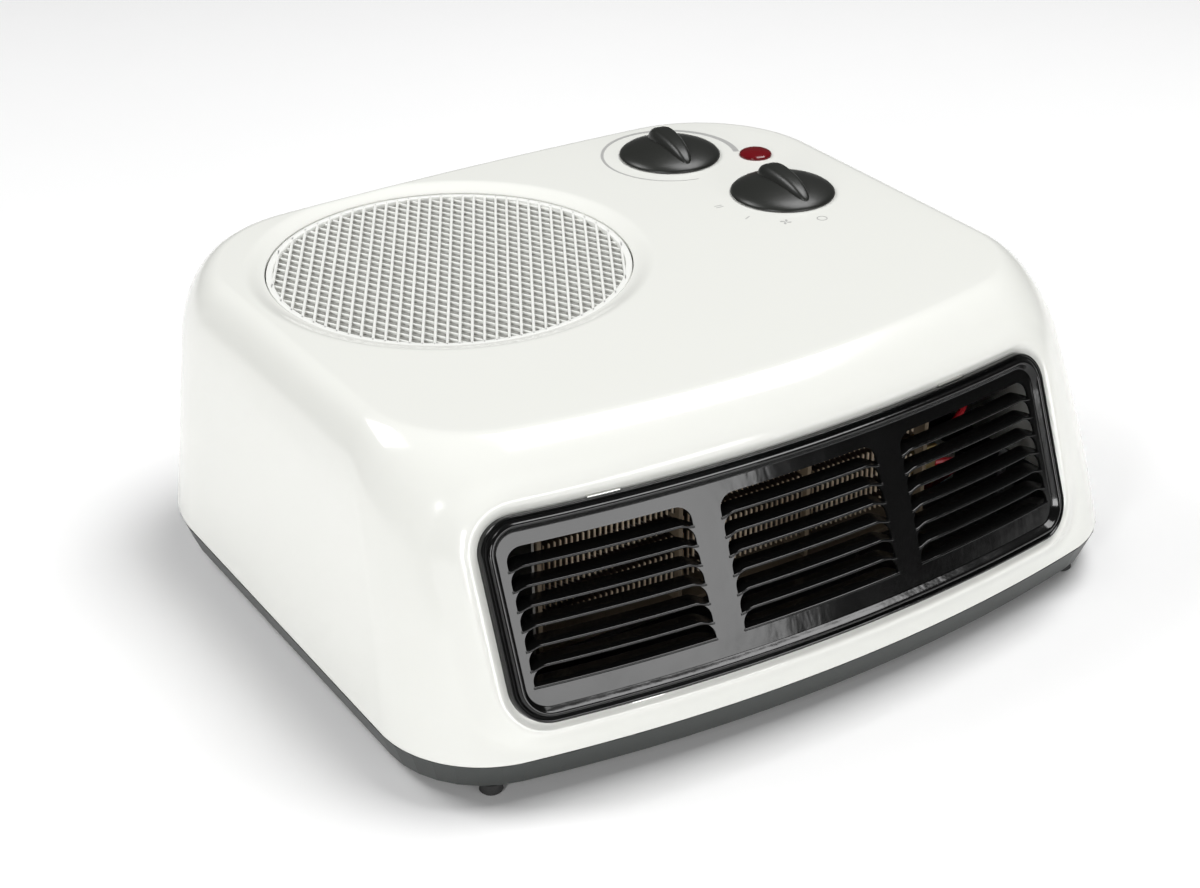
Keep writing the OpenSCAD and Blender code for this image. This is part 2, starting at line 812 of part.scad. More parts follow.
module scroll_housing() {
    color([0.55, 0.56, 0.56])
    difference() {
        union() {
            translate([0, 0, plate_z])
                linear_extrude(scroll_t)
                    polygon(scroll_points(scroll_t));
            translate([0, 0, plate_z])
                linear_extrude(lid_z - plate_z)
                    difference() {
                        polygon(scroll_points(scroll_t));
                        polygon(scroll_points(0));
                    }
            for (p = SCROLL_POSTS)
                translate([p[0], p[1], plate_z])
                    cylinder(r = scroll_post_r, h = scroll_t);
            for (p = SCROLL_EARS)
                span([min(p[0][0], p[1][0]), min(p[0][1], p[1][1]), plate_z],
                    [max(p[0][0], p[1][0]), max(p[0][1], p[1][1]), plate_top]);
            for (s = [-1, 1])
                translate([inlet_x + s * screw_x, inlet_y, upper_pad_top])
                    cylinder(r = 4, h = plate_z - upper_pad_top + eps);
        }
        // mouth
        span([duct_left, duct_y - 5, plate_top], [duct_right, duct_y + scroll_t + 0.5, lid_z + 1]);
        for (p = SCROLL_POSTS)
            translate([p[0], p[1], plate_z - 1])
                cylinder(r = scroll_screw_d / 2 + 0.2, h = 10);
        translate([inlet_x, inlet_y, plate_z - 1])
            cylinder(r = 6, h = 10);
        for (s = [-1, 1])
            translate([inlet_x + s * screw_x, inlet_y, upper_pad_top - 1])
                cylinder(r = motor_screw_d / 2, h = 7);
    }
}
SCROLL_EARS = [
    [[-111, 60], [-100, 69]],
    [[4, 68], [14, 76]],
    [[-88, -35], [-80, -27]],
    [[12, -35], [20, -27]]
];

module scroll_lid() {
    color([0.62, 0.63, 0.63])
    difference() {
        translate([0, 0, lid_z])
            linear_extrude(lid_t)
                polygon(scroll_points(scroll_t));
        translate([inlet_x, inlet_y, lid_z - 1])
            cylinder(r = lid_hole_r, h = 10, $fn = 96);
    }
    // rounded lip of the inlet hole
    color([0.62, 0.63, 0.63])
    translate([inlet_x, inlet_y, lid_z - 1.2])
        rotate_extrude($fn = 96)
            polygon([
                [lid_hole_r - 1.2, 0], [lid_hole_r, 0], [lid_hole_r + 0.4, 1.2 + eps],
                [lid_hole_r + 0.4, lid_t + 1.2], [lid_hole_r - 0.4, lid_t + 1.2]
            ]);
}

module scroll_screws() {
    color("silver")
    for (p = SCROLL_POSTS)
        translate([p[0], p[1], plate_top]) {
            cylinder(r = 3, h = 2);
            translate([0, 0, -9])
                cylinder(r = scroll_screw_d / 2, h = 9.5);
        }
}

// Flared duct from the scroll's mouth to the heating element
module outlet_duct() {
    t = 0.8;
    back = [[duct_left, plate_top], [duct_right, lid_z]];
    front = [[shield_left + 1, shield_low + 1], [shield_right - 1, shield_high - 1]];
    function box_ring(r, y, grow) = [
        [r[0][0] - grow, y, r[0][1] - grow], [r[1][0] + grow, y, r[0][1] - grow],
        [r[1][0] + grow, y, r[1][1] + grow], [r[0][0] - grow, y, r[1][1] + grow]
    ];
    y0 = duct_y;
    y1 = shield_back;
    rings = [box_ring(back, y0, t), box_ring(front, y1, t), box_ring(front, y1, 0), box_ring(back, y0, 0)];
    color([0.66, 0.66, 0.65])
    polyhedron(
        points = flat(rings),
        faces = flat([for (k = [0:3]) join_rings(k * 4, ((k + 1) % 4) * 4, 4, true)])
    );
}

// ---- fan -------------------------------------------------------------------------------------
module impeller() {
    hub_r = 8;
    blade_in = impeller_r - 9;
    color([0.85, 0.85, 0.83])
    translate([inlet_x, inlet_y, impeller_z]) {
        difference() {
            union() {
                cylinder(r = impeller_r - 1, h = 1.6, $fn = 96);
                cylinder(r = hub_r, h = 12);
                translate([0, 0, impeller_h - 1.6])
                    tube(impeller_r, blade_in, 1.6);
                for (i = [0:blade_count - 1])
                    rotate([0, 0, 360 * i / blade_count])
                        linear_extrude(impeller_h - 0.8)
                            polygon(blade_points(blade_in + 0.4, impeller_r - 1.4));
            }
            translate([0, 0, -1])
                cylinder(r = shaft_d / 2, h = 40);
        }
    }
}

// Curved blade from radius a to radius b
function blade_points(a, b) =
    let (steps = 4, t = 0.5)
    concat(
        [for (i = [0:steps]) let (r = a + (b - a) * i / steps, w = 6 * pow(i / steps, 2)) [r * cos(w), r * sin(w) - t]],
        [for (i = [steps:-1:0]) let (r = a + (b - a) * i / steps, w = 6 * pow(i / steps, 2)) [r * cos(w), r * sin(w) + t]]
    );

module impeller_clip() {
    color("silver")
    translate([inlet_x, inlet_y, impeller_z + 12])
        tube(4.5, shaft_d / 2, 1.2);
}

shaft_low = base_floor + 3;
shaft_top = impeller_z + 15;
module motor_shaft() {
    color("lightgray")
    translate([inlet_x, inlet_y, shaft_low])
        cylinder(r = shaft_d / 2, h = shaft_top - shaft_low);
}

module rotor_core() {
    color([0.5, 0.5, 0.52])
    translate([inlet_x, inlet_y, stack_z])
        tube(rotor_d / 2, shaft_d / 2, stack_h);
}

leg_inner = 32;
leg_outer = 44;
motor_screw_d = 4;
screw_x = 22;
module motor_stator() {
    color([0.45, 0.45, 0.47])
    translate([inlet_x, inlet_y, stack_z])
        difference() {
            span([-28, -20, 0], [28, leg_outer, stack_h]);
            translate([0, 0, -1])
                cylinder(r = rotor_d / 2 + air_gap, h = stack_h + 2);
            span([-17, 17, -1], [17, leg_inner, stack_h + 1]);
            for (s = [-1, 1])
                translate([s * screw_x, 0, -1])
                    cylinder(r = motor_screw_d / 2 + 0.2, h = stack_h + 2);
        }
}

bobbin_t = 1.2;
bobbin_x = 16;
coil_t = 5;
module coil_bobbin() {
    flange = bobbin_t + coil_t + 0.4;
    color([0.85, 0.82, 0.7])
    translate([inlet_x, inlet_y, stack_z])
        difference() {
            union() {
                span([-bobbin_x, leg_inner - bobbin_t, -bobbin_t],
                    [bobbin_x, leg_outer + bobbin_t, stack_h + bobbin_t]);
                for (x = [-bobbin_x, bobbin_x - bobbin_t])
                    span([x, leg_inner - flange, -flange], [x + bobbin_t, leg_outer + flange, stack_h + flange]);
            }
            span([-bobbin_x - 1, leg_inner, 0], [bobbin_x + 1, leg_outer, stack_h]);
        }
}

module motor_coil() {
    x = bobbin_x - bobbin_t;
    inner = bobbin_t;
    outer = bobbin_t + coil_t;
    color([0.72, 0.38, 0.16])
    translate([inlet_x, inlet_y, stack_z])
        difference() {
            span([-x, leg_inner - outer, -outer], [x, leg_outer + outer, stack_h + outer]);
            span([-x - 1, leg_inner - inner, -inner], [x + 1, leg_outer + inner, stack_h + inner]);
        }
}

// Hat-shaped strip that carries a bush: pads on the stack, a raised bridge between them
bridge_rise = 5;
bracket_t = 1.4;
bush_out_r = 4.5;
upper_pad_top = stack_z + stack_h + bracket_t;
module bracket() {
    difference() {
        union() {
            for (s = [-1, 1]) {
                span([s > 0 ? 16.5 : -27, -6, 0], [s > 0 ? 27 : -16.5, 6, bracket_t]);
                span([s > 0 ? 15.1 : -16.5, -6, 0], [s > 0 ? 16.5 : -15.1, 6, bridge_rise]);
            }
            span([-16.5, -6, bridge_rise - bracket_t], [16.5, 6, bridge_rise]);
        }
        translate([0, 0, -1])
            cylinder(r = bush_out_r, h = 20);
        for (s = [-1, 1])
            translate([s * screw_x, 0, -1])
                cylinder(r = motor_screw_d / 2 + 0.2, h = 4);
    }
}

module upper_bracket() {
    color("silver")
    translate([inlet_x, inlet_y, stack_z + stack_h])
        bracket();
}

module lower_bracket() {
    color("silver")
    translate([inlet_x, inlet_y, stack_z])
        mirror([0, 0, 1])
            bracket();
}

module motor_bushes() {
    color([0.72, 0.53, 0.25])
    for (z = [stack_z - bridge_rise - 1, stack_z + stack_h + bridge_rise - 3])
        translate([inlet_x, inlet_y, z])
            tube(bush_out_r, shaft_d / 2 + shaft_gap, 4);
}

module motor_screws() {
    color("silver")
    for (s = [-1, 1])
        translate([inlet_x + s * screw_x, inlet_y, stack_z - bracket_t]) {
            translate([0, 0, -2.2])
                cylinder(r = 3.6, h = 2.2);
            cylinder(r = motor_screw_d / 2, h = stack_h + 2 * bracket_t + 5);
        }
}

// ---- controls --------------------------------------------------------------------------------
knob_z = top_h + 0.4;
spindle_depth = knob_h - 3;
spindle_top = knob_z + spindle_depth;

// Low dome with a rim and a tall rounded fin across it. The pointer end faces angle zero.
module knob() {
    r = knob_d / 2;
    fin_w = 8;
    dome_h = 2.8;
    difference() {
        union() {
            rotate_extrude($fn = 72)
                polygon(concat(
                    [[0, 0], [r, 0], [r, 1.6], [r - 0.5, 2.2], [r - 1.6, 2.2]],
                    [for (i = [0:6]) let (t = i / 6) [(r - 2) * (1 - t), 1.7 + dome_h * (1 - pow(1 - t, 2))]]
                ));
            intersection() {
                translate([0, fin_w / 2, 0])
                    rotate([90, 0, 0])
                        linear_extrude(fin_w)
                            polygon(fin_side(r));
                linear_extrude(30)
                    polygon(fin_plan(r, fin_w));
            }
        }
        translate([0, 0, -1])
            cylinder(r = spindle_d / 2, h = spindle_depth + 1);
        translate([0, 0, -1])
            cylinder(r = 9.2, h = 3.2);
    }
}

// Side of the fin: a rounded back that falls to the pointer end
function fin_side(r) = concat(
    [[-r + 1.2, 0.5], [r - 0.6, 0.5], [r - 0.6, 2.4]],
    [for (i = [0:10]) let (t = i / 10) [(r - 2) - (2 * r - 4) * t, 2.8 + (knob_h - 3.2) * pow(sin(180 * pow(t, 1.15)), 0.8)]],
    [[-r + 1.2, 2.4]]
);

// Plan of the fin: a long leaf
function fin_plan(r, w) = concat(
    [for (i = [0:10]) let (x = (r - 0.6) * (1 - i / 5)) [x, w / 2 * sqrt(max(0, 1 - pow(x / r, 2)))]],
    [for (i = [9:-1:1]) let (x = (r - 0.6) * (1 - i / 5)) [x, -w / 2 * sqrt(max(0, 1 - pow(x / r, 2)))]]
);

thermostat_pointer = -99.6;
selector_pointer = -95.4;
module thermostat_knob() {
    color([0.16, 0.17, 0.16])
    translate([dial_x, dial_y, knob_z])
        rotate([0, 0, thermostat_pointer])
            knob();
}

module selector_knob() {
    color([0.16, 0.17, 0.16])
    translate([switch_x, switch_y, knob_z])
        rotate([0, 0, selector_pointer])
            knob();
}

thermostat_h = 16;
thermostat_top = ceiling;
thermostat_low = thermostat_top - thermostat_h;
module thermostat_body() {
    color([0.9, 0.88, 0.82])
    translate([dial_x, dial_y, thermostat_low])
        difference() {
            union() {
                span([-14, -12, 0], [14, 12, thermostat_h]);
                cylinder(r = bush_r, h = thermostat_h + cover_wall + 2);
            }
            translate([0, 0, 4])
                cylinder(r = spindle_d / 2 + spindle_gap, h = 40);
        }
}

module thermostat_nut() {
    color("silver")
    translate([dial_x, dial_y, top_h])
        difference() {
            cylinder(r = 7.6, h = 1.8, $fn = 6);
            translate([0, 0, -1])
                cylinder(r = bush_r, h = 4);
        }
}

module thermostat_shaft() {
    color("silver")
    translate([dial_x, dial_y, thermostat_low + 5])
        cylinder(r = spindle_d / 2, h = spindle_top - thermostat_low - 5.5);
}

// Bimetal blade bent down from the thermostat's body
module bimetal_strip() {
    color([0.7, 0.6, 0.4])
    translate([dial_x, dial_y, thermostat_low]) {
        span([-13, -3, -5], [-11, 3, 0]);
        span([-13, -3, -5.8], [20, 3, -5]);
    }
}

selector_h = 18;
selector_low = ceiling - selector_h;
SELECTOR_SCREWS = [[switch_x - 9, switch_y], [switch_x + 9, switch_y]];
module selector_switch() {
    color([0.1, 0.1, 0.11])
    translate([switch_x, switch_y, selector_low])
        difference() {
            union() {
                span([-15, -14, 0], [15, 14, selector_h - play]);
                cylinder(r = bush_r, h = selector_h + cover_wall - 0.2);
            }
            translate([0, 0, 5])
                cylinder(r = spindle_d / 2 + spindle_gap, h = 40);
            for (s = [-1, 1])
                translate([s * 9, 0, -1])
                    cylinder(r = 1.5, h = 30);
            for (s = [-1, 1])
                translate([s * 9, 0, -1])
                    cylinder(r = 3, h = 13);
        }
}

module selector_screws() {
    color("silver")
    for (p = SELECTOR_SCREWS)
        translate([p[0], p[1], selector_low + 10]) {
            cylinder(r = 2.6, h = 2);
            cylinder(r = 1.3, h = 8.6);
        }
}

module selector_shaft() {
    color("silver")
    translate([switch_x, switch_y, selector_low + 6])
        cylinder(r = spindle_d / 2, h = spindle_top - selector_low - 6.5);
}

// Pilot lamp: domed lens with a stem through the cover, a holder under it, a neon tube inside
lamp_stem_r = lamp_d / 2 - 0.7;
module lamp_lens() {
    color([0.55, 0.06, 0.08])
    translate([lamp_x, lamp_y, top_h])
        difference() {
            union() {
                rotate_extrude()
                    polygon(concat(
                        [[0, 0], [lamp_d / 2, 0], [lamp_d / 2, 0.5]],
                        [for (i = [0:6]) let (t = 90 * i / 6) [lamp_d / 2 * cos(t), 0.5 + 1.6 * sin(t)]]
                    ));
                translate([0, 0, -9])
                    cylinder(r = lamp_stem_r, h = 9 + eps);
            }
            translate([0, 0, -10])
                cylinder(r = lamp_stem_r - 1, h = 9.2);
        }
}

module lamp_holder() {
    color([0.9, 0.9, 0.88])
    translate([lamp_x, lamp_y, top_h - 9]) {
        translate([0, 0, -3])
            tube(lamp_stem_r + 1.5, 3, 3);
        tube(lamp_stem_r + 1.5, lamp_stem_r + 0.1, 5);
    }
}

module neon_lamp() {
    color([0.95, 0.75, 0.6])
    translate([lamp_x, lamp_y, top_h - 14]) {
        cylinder(r = 3, h = 9);
        translate([0, 0, 9])
            sphere(r = 3, $fn = 24);
    }
}

// ---- mains side ------------------------------------------------------------------------------
block_x = 86;
block_y = -36;
block_z = base_floor + 3;
block_h = 13;
module terminal_block() {
    color([0.92, 0.92, 0.9])
    translate([block_x, block_y, block_z])
        difference() {
            span([-19, -8, 0], [19, 8, block_h]);
            for (i = [-1:1])
                translate([i * 10, -9, 5])
                    rotate([-90, 0, 0])
                        cylinder(r = 1.9, h = 18);
            for (i = [-1:1])
                translate([i * 10, 0, 5])
                    cylinder(r = 2.1, h = 20);
            for (s = [-1, 1])
                translate([s * 15, 0, -1])
                    cylinder(r = 1.4, h = 20);
        }
}

module terminal_screws() {
    color([0.75, 0.66, 0.4])
    for (i = [-1:1])
        translate([block_x + i * 10, block_y, block_z + 8])
            cylinder(r = 2.1, h = 4);
}

gland_neck_r = 6.2;
gland_flange_r = 8.6;
gland_flange_t = 2.2;
gland_nose_r = 7.2;
// Outer face of the rear wall at the cord entry
rear_bow_r = (half_w * half_w + rear_bow * rear_bow) / (2 * rear_bow);
entry_y = body_d / 2 - rear_draft * climb(entry_z) - (rear_bow_r - sqrt(rear_bow_r * rear_bow_r - entry_x * entry_x));
module cord_gland() {
    color([0.15, 0.15, 0.15])
    translate([entry_x, entry_y, entry_z])
        rotate([-90, 0, 0])
            difference() {
                union() {
                    translate([0, 0, -12])
                        cylinder(r = gland_neck_r, h = 13);
                    translate([0, 0, 0.7])
                        cylinder(r = gland_flange_r, h = gland_flange_t);
                    // nose that reaches as far back as the grille's rim reaches forward
                    translate([0, 0, 0.7])
                        cylinder(r = gland_nose_r, h = -grille_front - entry_y - 0.7);
                    translate([0, 0, -cover_wall - 3.4])
                        cylinder(r = gland_flange_r, h = gland_flange_t);
                }
                translate([0, 0, -13])
                    cylinder(r = entry_bore / 2, h = 20);
            }
}

clamp_z = entry_z - entry_bore / 2 - 2;
clamp_y = body_d / 2 - 28;
module cord_clamp() {
    color([0.2, 0.2, 0.2])
    difference() {
        translate([entry_x, clamp_y, clamp_z]) {
            for (s = [-1, 1])
                span([s > 0 ? 6 : -14, -5, 0], [s > 0 ? 14 : -6, 5, 2.4]);
            span([-8.2, -5, 0], [8.2, 5, 12]);
        }
        translate([entry_x, 0, entry_z])
            rotate([-90, 0, 0])
                cylinder(r = entry_bore / 2, h = body_d);
        for (s = [-1, 1])
            translate([entry_x + s * 10, clamp_y, 0])
                cylinder(r = 1.5, h = 60);
    }
}

module clamp_screws() {
    color("silver")
    for (s = [-1, 1])
        translate([entry_x + s * 11, clamp_y, clamp_z + 2.4])
            cylinder(r = 2.4, h = 1.6);
}

wire_r = 1.1;
module red_wires() {
    color([0.7, 0.05, 0.08])
    for (path = RED_PATHS)
        wire(smooth(path), wire_r);
}
function tab_end(i) = [element_right + 8, ribbon_y, ribbon_z(i) + ribbon_h / 2];
RED_PATHS = [
    [
        tab_end(3), tab_end(3) + [6, -0.5, 1], tab_end(3) + [14, 4, 6], tab_end(3) + [20, 25, 10],
        [switch_x + 8, switch_y - 45, selector_low - 8], [switch_x + 3, switch_y - 16, selector_low - 10],
        [switch_x + 1, switch_y - 9, selector_low - 5], [switch_x, switch_y - 8, selector_low]
    ],
    [
        tab_end(1), tab_end(1) + [6, -0.5, -1], tab_end(1) + [14, 4, -7],
        [block_x + 2, block_y - 20, block_z + 12], [block_x, block_y - 13, block_z + 6],
        [block_x, block_y - 4, block_z + 5]
    ]
];

module blue_wires() {
    color([0.1, 0.2, 0.55])
    for (path = BLUE_PATHS)
        wire(smooth(path), wire_r);
}
BLUE_PATHS = [
    [
        [block_x - 10, block_y + 4, block_z + 5], [block_x - 10, block_y + 14, block_z + 5],
        [block_x - 18, block_y + 38, block_z + 9], [dial_x - 10, dial_y - 30, block_z + 30],
        [dial_x - 8, dial_y - 12, thermostat_low - 18], [dial_x - 6, dial_y - 8, thermostat_low - 8],
        [dial_x - 5, dial_y - 8, thermostat_low]
    ],
    [
        [block_x + 10, block_y + 4, block_z + 5], [block_x + 10, block_y + 14, block_z + 5],
        [block_x + 14, block_y + 40, block_z + 14], [lamp_x + 7, lamp_y - 20, top_h - 50],
        [lamp_x + 2, lamp_y - 4, top_h - 26], [lamp_x, lamp_y, top_h - 19], [lamp_x, lamp_y, top_h - 14]
    ]
];

// ---- assembly --------------------------------------------------------------------------------
base_pan();
rubber_feet();
top_cover();
cover_screws();
inlet_mesh();
inlet_filter();
outlet_grille();
grille_clips();
heat_shield();
element_frame();
heating_ribbons();
element_terminals();
thermal_cutout();
thermal_fuse();
outlet_duct();
scroll_housing();
scroll_lid();
scroll_screws();
impeller();
impeller_clip();
motor_shaft();
rotor_core();
motor_stator();
coil_bobbin();
motor_coil();
upper_bracket();
lower_bracket();
motor_bushes();
motor_screws();
thermostat_knob();
thermostat_shaft();
thermostat_body();
thermostat_nut();
bimetal_strip();
selector_knob();
selector_shaft();
selector_switch();
selector_screws();
lamp_lens();
lamp_holder();
neon_lamp();
terminal_block();
terminal_screws();
cord_gland();
cord_clamp();
clamp_screws();
red_wires();
blue_wires();
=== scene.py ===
"""Looks of a compact fan convector heater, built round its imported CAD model.

Lengths are millimetres in the frame of the CAD model; mesh_piece() turns them into metres.
"""

import json
import math

import bmesh
import bpy
from mathutils import Matrix, Vector
from mathutils.geometry import delaunay_2d_cdt


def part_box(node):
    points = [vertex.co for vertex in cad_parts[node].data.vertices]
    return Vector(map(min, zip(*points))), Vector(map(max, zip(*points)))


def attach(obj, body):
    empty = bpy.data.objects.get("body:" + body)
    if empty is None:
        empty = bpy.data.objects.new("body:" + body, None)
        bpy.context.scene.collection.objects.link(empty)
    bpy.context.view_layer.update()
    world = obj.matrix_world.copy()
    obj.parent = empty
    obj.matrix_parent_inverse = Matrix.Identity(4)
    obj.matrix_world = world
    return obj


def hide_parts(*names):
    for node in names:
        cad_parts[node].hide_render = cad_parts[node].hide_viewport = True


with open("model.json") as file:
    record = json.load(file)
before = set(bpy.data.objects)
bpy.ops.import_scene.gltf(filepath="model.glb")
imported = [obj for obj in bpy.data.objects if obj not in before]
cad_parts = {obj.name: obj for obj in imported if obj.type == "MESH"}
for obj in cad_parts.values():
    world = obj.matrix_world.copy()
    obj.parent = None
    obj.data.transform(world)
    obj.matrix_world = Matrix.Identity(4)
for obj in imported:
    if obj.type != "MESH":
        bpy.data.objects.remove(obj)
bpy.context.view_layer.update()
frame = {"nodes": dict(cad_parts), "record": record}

MM = 0.001
HOUSING = "housing"


# ---- places taken from the CAD model ---------------------------------------------------------
def box_mm(node):
    """Lowest and highest corner of a CAD node, in millimetres."""
    low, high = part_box(node)
    return low / MM, high / MM


def middle(node):
    """Middle of a CAD node's box, in millimetres."""
    low, high = box_mm(node)
    return (low + high) / 2


COVER_LOW, COVER_HIGH = box_mm("top_cover")
TOP = COVER_HIGH.z
SEAM = COVER_LOW.z
HALF_W = COVER_HIGH.x
HALF_D = COVER_HIGH.y
MESH_LOW, MESH_HIGH = box_mm("inlet_mesh")
INLET = (MESH_LOW + MESH_HIGH) / 2
MESH_R = (MESH_HIGH.x - MESH_LOW.x) / 2
GRILLE_LOW, GRILLE_HIGH = box_mm("outlet_grille")
DIAL = middle("thermostat_shaft")
SWITCH = middle("selector_shaft")
KNOB_LOW, KNOB_HIGH = box_mm("thermostat_knob")
KNOB_R = (KNOB_HIGH.x - KNOB_LOW.x) / 2

# ---- shape of the cover, as in the CAD model -------------------------------------------------
SIDE_DRAFT = 9.1
FRONT_DRAFT = 26.4
FRONT_CURVE = 0.414
REAR_DRAFT = 4.0
FRONT_BOW = 16.55
REAR_BOW = 4.9
FRONT_CORNER_R = 34.9
FRONT_CORNER_GROWTH = 7.8
REAR_CORNER_R = 52.7
EDGE_RUN = 11.0
EDGE_RISE = 24.0
COVER_WALL = 2.3
FRONT_LEVEL = HALF_D - FRONT_BOW
REAR_LEVEL = HALF_D - REAR_BOW

# ---- shape of the grille, as in the CAD model ------------------------------------------------
GRILLE_W = GRILLE_HIGH.x - GRILLE_LOW.x
GRILLE_X = (GRILLE_HIGH.x + GRILLE_LOW.x) / 2
GRILLE_L = 59.8
GRILLE_MID_Z = 54.25
GRILLE_LEAN = math.radians(21.8)
GRILLE_CORNER_R = 11.0
FIELD_SET_BACK = 0.6
RIM_W = 5.0
SHEET_T = 0.9
LOUVRES = 7
LOUVRE_PITCH = 5.74
BANK_W = 56.1
BANK_PITCH = 65.5
LOUVRE_LOW = 11.1 - GRILLE_L / 2
LOUVRE_GAP = 0.3
LOUVRE_CORNER_R = 5.0
LIP_DROOP = 0.95
LIP_CURL = 4.4
SLAT_DEPTH = 5.0
SLAT_T = 0.8
SLAT_RISE = math.radians(25)


def climb(z):
    """Share of the way from the seam to the top."""
    return (z - SEAM) / (TOP - SEAM)


def front_inset(z):
    """How far the front lies behind its line at the seam: it leans back more towards the top."""
    t = climb(z)
    return FRONT_DRAFT * ((1 - FRONT_CURVE) * t + FRONT_CURVE * t * t)


GRILLE_Y = FIELD_SET_BACK - (HALF_D - front_inset(GRILLE_MID_Z))
BOW_R = (HALF_W**2 + FRONT_BOW**2) / (2 * FRONT_BOW)


# ---- helpers ---------------------------------------------------------------------------------
def smoothstep(t):
    t = min(1.0, max(0.0, t))
    return t * t * (3 - 2 * t)


def mesh_piece(
    name, points, faces, material, body=HOUSING, nodes=(), slot=None, sharp=40, weld=0.0,
):
    """Mesh object from points in millimetres; edges sharper than an angle in degrees stay crisp."""
    mesh = bpy.data.meshes.new(name)
    mesh.from_pydata([tuple(c * MM for c in p) for p in points], [], faces)
    bm = bmesh.new()
    bm.from_mesh(mesh)
    if weld:
        bmesh.ops.remove_doubles(bm, verts=bm.verts, dist=weld * MM)
    bmesh.ops.recalc_face_normals(bm, faces=bm.faces)
    bm.to_mesh(mesh)
    bm.free()
    mesh.shade_smooth()
    mesh.set_sharp_from_angle(angle=math.radians(sharp))
    mesh.materials.append(material)
    piece = bpy.data.objects.new(name, mesh)
    bpy.context.scene.collection.objects.link(piece)
    if body:
        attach(piece, body)
    if nodes:
        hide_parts(*nodes)
    return piece


def thicken(piece, thickness, sharp):
    """Gives an open skin a wall behind its surface, with crisp edges where the wall turns."""
    wall = piece.modifiers.new("wall", "SOLIDIFY")
    wall.thickness = thickness * MM
    wall.offset = -1
    wall.use_even_offset = True
    shaped = piece.evaluated_get(bpy.context.evaluated_depsgraph_get())
    solid = bpy.data.meshes.new_from_object(shaped)
    piece.modifiers.clear()
    piece.data = solid
    solid.shade_smooth()
    solid.set_sharp_from_angle(angle=math.radians(sharp))


def grid_faces(rows, columns, closed=True, start=0):
    """Quads between neighbouring rows of points."""
    faces = []
    for i in range(rows - 1):
        for j in range(columns if closed else columns - 1):
            k = (j + 1) % columns
            a, b = start + i * columns, start + (i + 1) * columns
            faces.append((a + j, a + k, b + k, b + j))
    return faces


def lathe(profile, centre, turns=96):
    """Points and faces of a profile of (radius, height) turned about the vertical through centre."""
    points = []
    for r, z in profile:
        for j in range(turns):
            a = 2 * math.pi * j / turns
            points.append((centre[0] + r * math.cos(a), centre[1] + r * math.sin(a), z))
    return points, grid_faces(len(profile), turns)


# ---- materials -------------------------------------------------------------------------------
DRIFT_SCALE = 22.0
COAT_ROUGHNESS = 0.06


def material(
    name, colour, roughness, metal=0.0, grain=900.0, bump=0.02, tint=0.04, gloss_spread=0.06,
    stretch=(1, 1, 1), coat=0.0, specular=0.5, transmission=0.0,
):
    """A procedural surface: colour and roughness drift over the part, and a fine grain lifts it."""
    m = bpy.data.materials.new(name)
    m.use_nodes = True
    nodes, links = m.node_tree.nodes, m.node_tree.links
    shader = nodes["Principled BSDF"]
    where = nodes.new("ShaderNodeTexCoord")
    scaled = nodes.new("ShaderNodeMapping")
    scaled.inputs["Scale"].default_value = stretch
    links.new(where.outputs["Object"], scaled.inputs["Vector"])
    drift = nodes.new("ShaderNodeTexNoise")
    drift.inputs["Scale"].default_value = DRIFT_SCALE
    drift.inputs["Detail"].default_value = 3.0
    links.new(scaled.outputs["Vector"], drift.inputs["Vector"])
    fine = nodes.new("ShaderNodeTexNoise")
    fine.inputs["Scale"].default_value = grain
    fine.inputs["Detail"].default_value = 4.0
    links.new(scaled.outputs["Vector"], fine.inputs["Vector"])
    shade = nodes.new("ShaderNodeMixRGB")
    shade.inputs["Color1"].default_value = (*[c * (1 - tint) for c in colour], 1)
    shade.inputs["Color2"].default_value = (*[min(1.0, c * (1 + tint)) for c in colour], 1)
    links.new(drift.outputs["Fac"], shade.inputs["Fac"])
    links.new(shade.outputs["Color"], shader.inputs["Base Color"])
    rough = nodes.new("ShaderNodeMapRange")
    rough.inputs["To Min"].default_value = max(0.02, roughness - gloss_spread)
    rough.inputs["To Max"].default_value = min(1.0, roughness + gloss_spread)
    links.new(fine.outputs["Fac"], rough.inputs["Value"])
    links.new(rough.outputs["Result"], shader.inputs["Roughness"])
    lift = nodes.new("ShaderNodeBump")
    lift.inputs["Strength"].default_value = 1.0
    lift.inputs["Distance"].default_value = bump * MM
    links.new(fine.outputs["Fac"], lift.inputs["Height"])
    links.new(lift.outputs["Normal"], shader.inputs["Normal"])
    shader.inputs["Metallic"].default_value = metal
    shader.inputs["Coat Weight"].default_value = coat
    shader.inputs["Coat Roughness"].default_value = COAT_ROUGHNESS
    shader.inputs["Transmission Weight"].default_value = transmission
    shader.inputs["Specular IOR Level"].default_value = specular
    return m


def woven(name, colour, pitch):
    """A screen of fine threads that cross at right angles, pitch in millimetres."""
    m = material(name, colour, 0.7, bump=0.01)
    nodes, links = m.node_tree.nodes, m.node_tree.links
    shader = nodes["Principled BSDF"]
    where = nodes["Texture Coordinate"]
    waves = []
    for axis in ("X", "Y"):
        wave = nodes.new("ShaderNodeTexWave")
        wave.bands_direction = axis
        wave.inputs["Scale"].default_value = math.pi / (10 * pitch * MM)
        links.new(where.outputs["Object"], wave.inputs["Vector"])
        waves.append(wave)
    both = nodes.new("ShaderNodeMath")
    both.operation = "MULTIPLY"
    links.new(waves[0].outputs["Fac"], both.inputs[0])
    links.new(waves[1].outputs["Fac"], both.inputs[1])
    shade = nodes.new("ShaderNodeMixRGB")
    shade.inputs["Color1"].default_value = (*colour, 1)
    shade.inputs["Color2"].default_value = (*[c * 0.72 for c in colour], 1)
    links.new(both.outputs[0], shade.inputs["Fac"])
    links.new(shade.outputs["Color"], shader.inputs["Base Color"])
    return m


# Depths behind the front of the folded strips between which their colour turns from bright to painted
# shade
FOLD_FRONT = 0.35
FOLD_BACK = 1.1


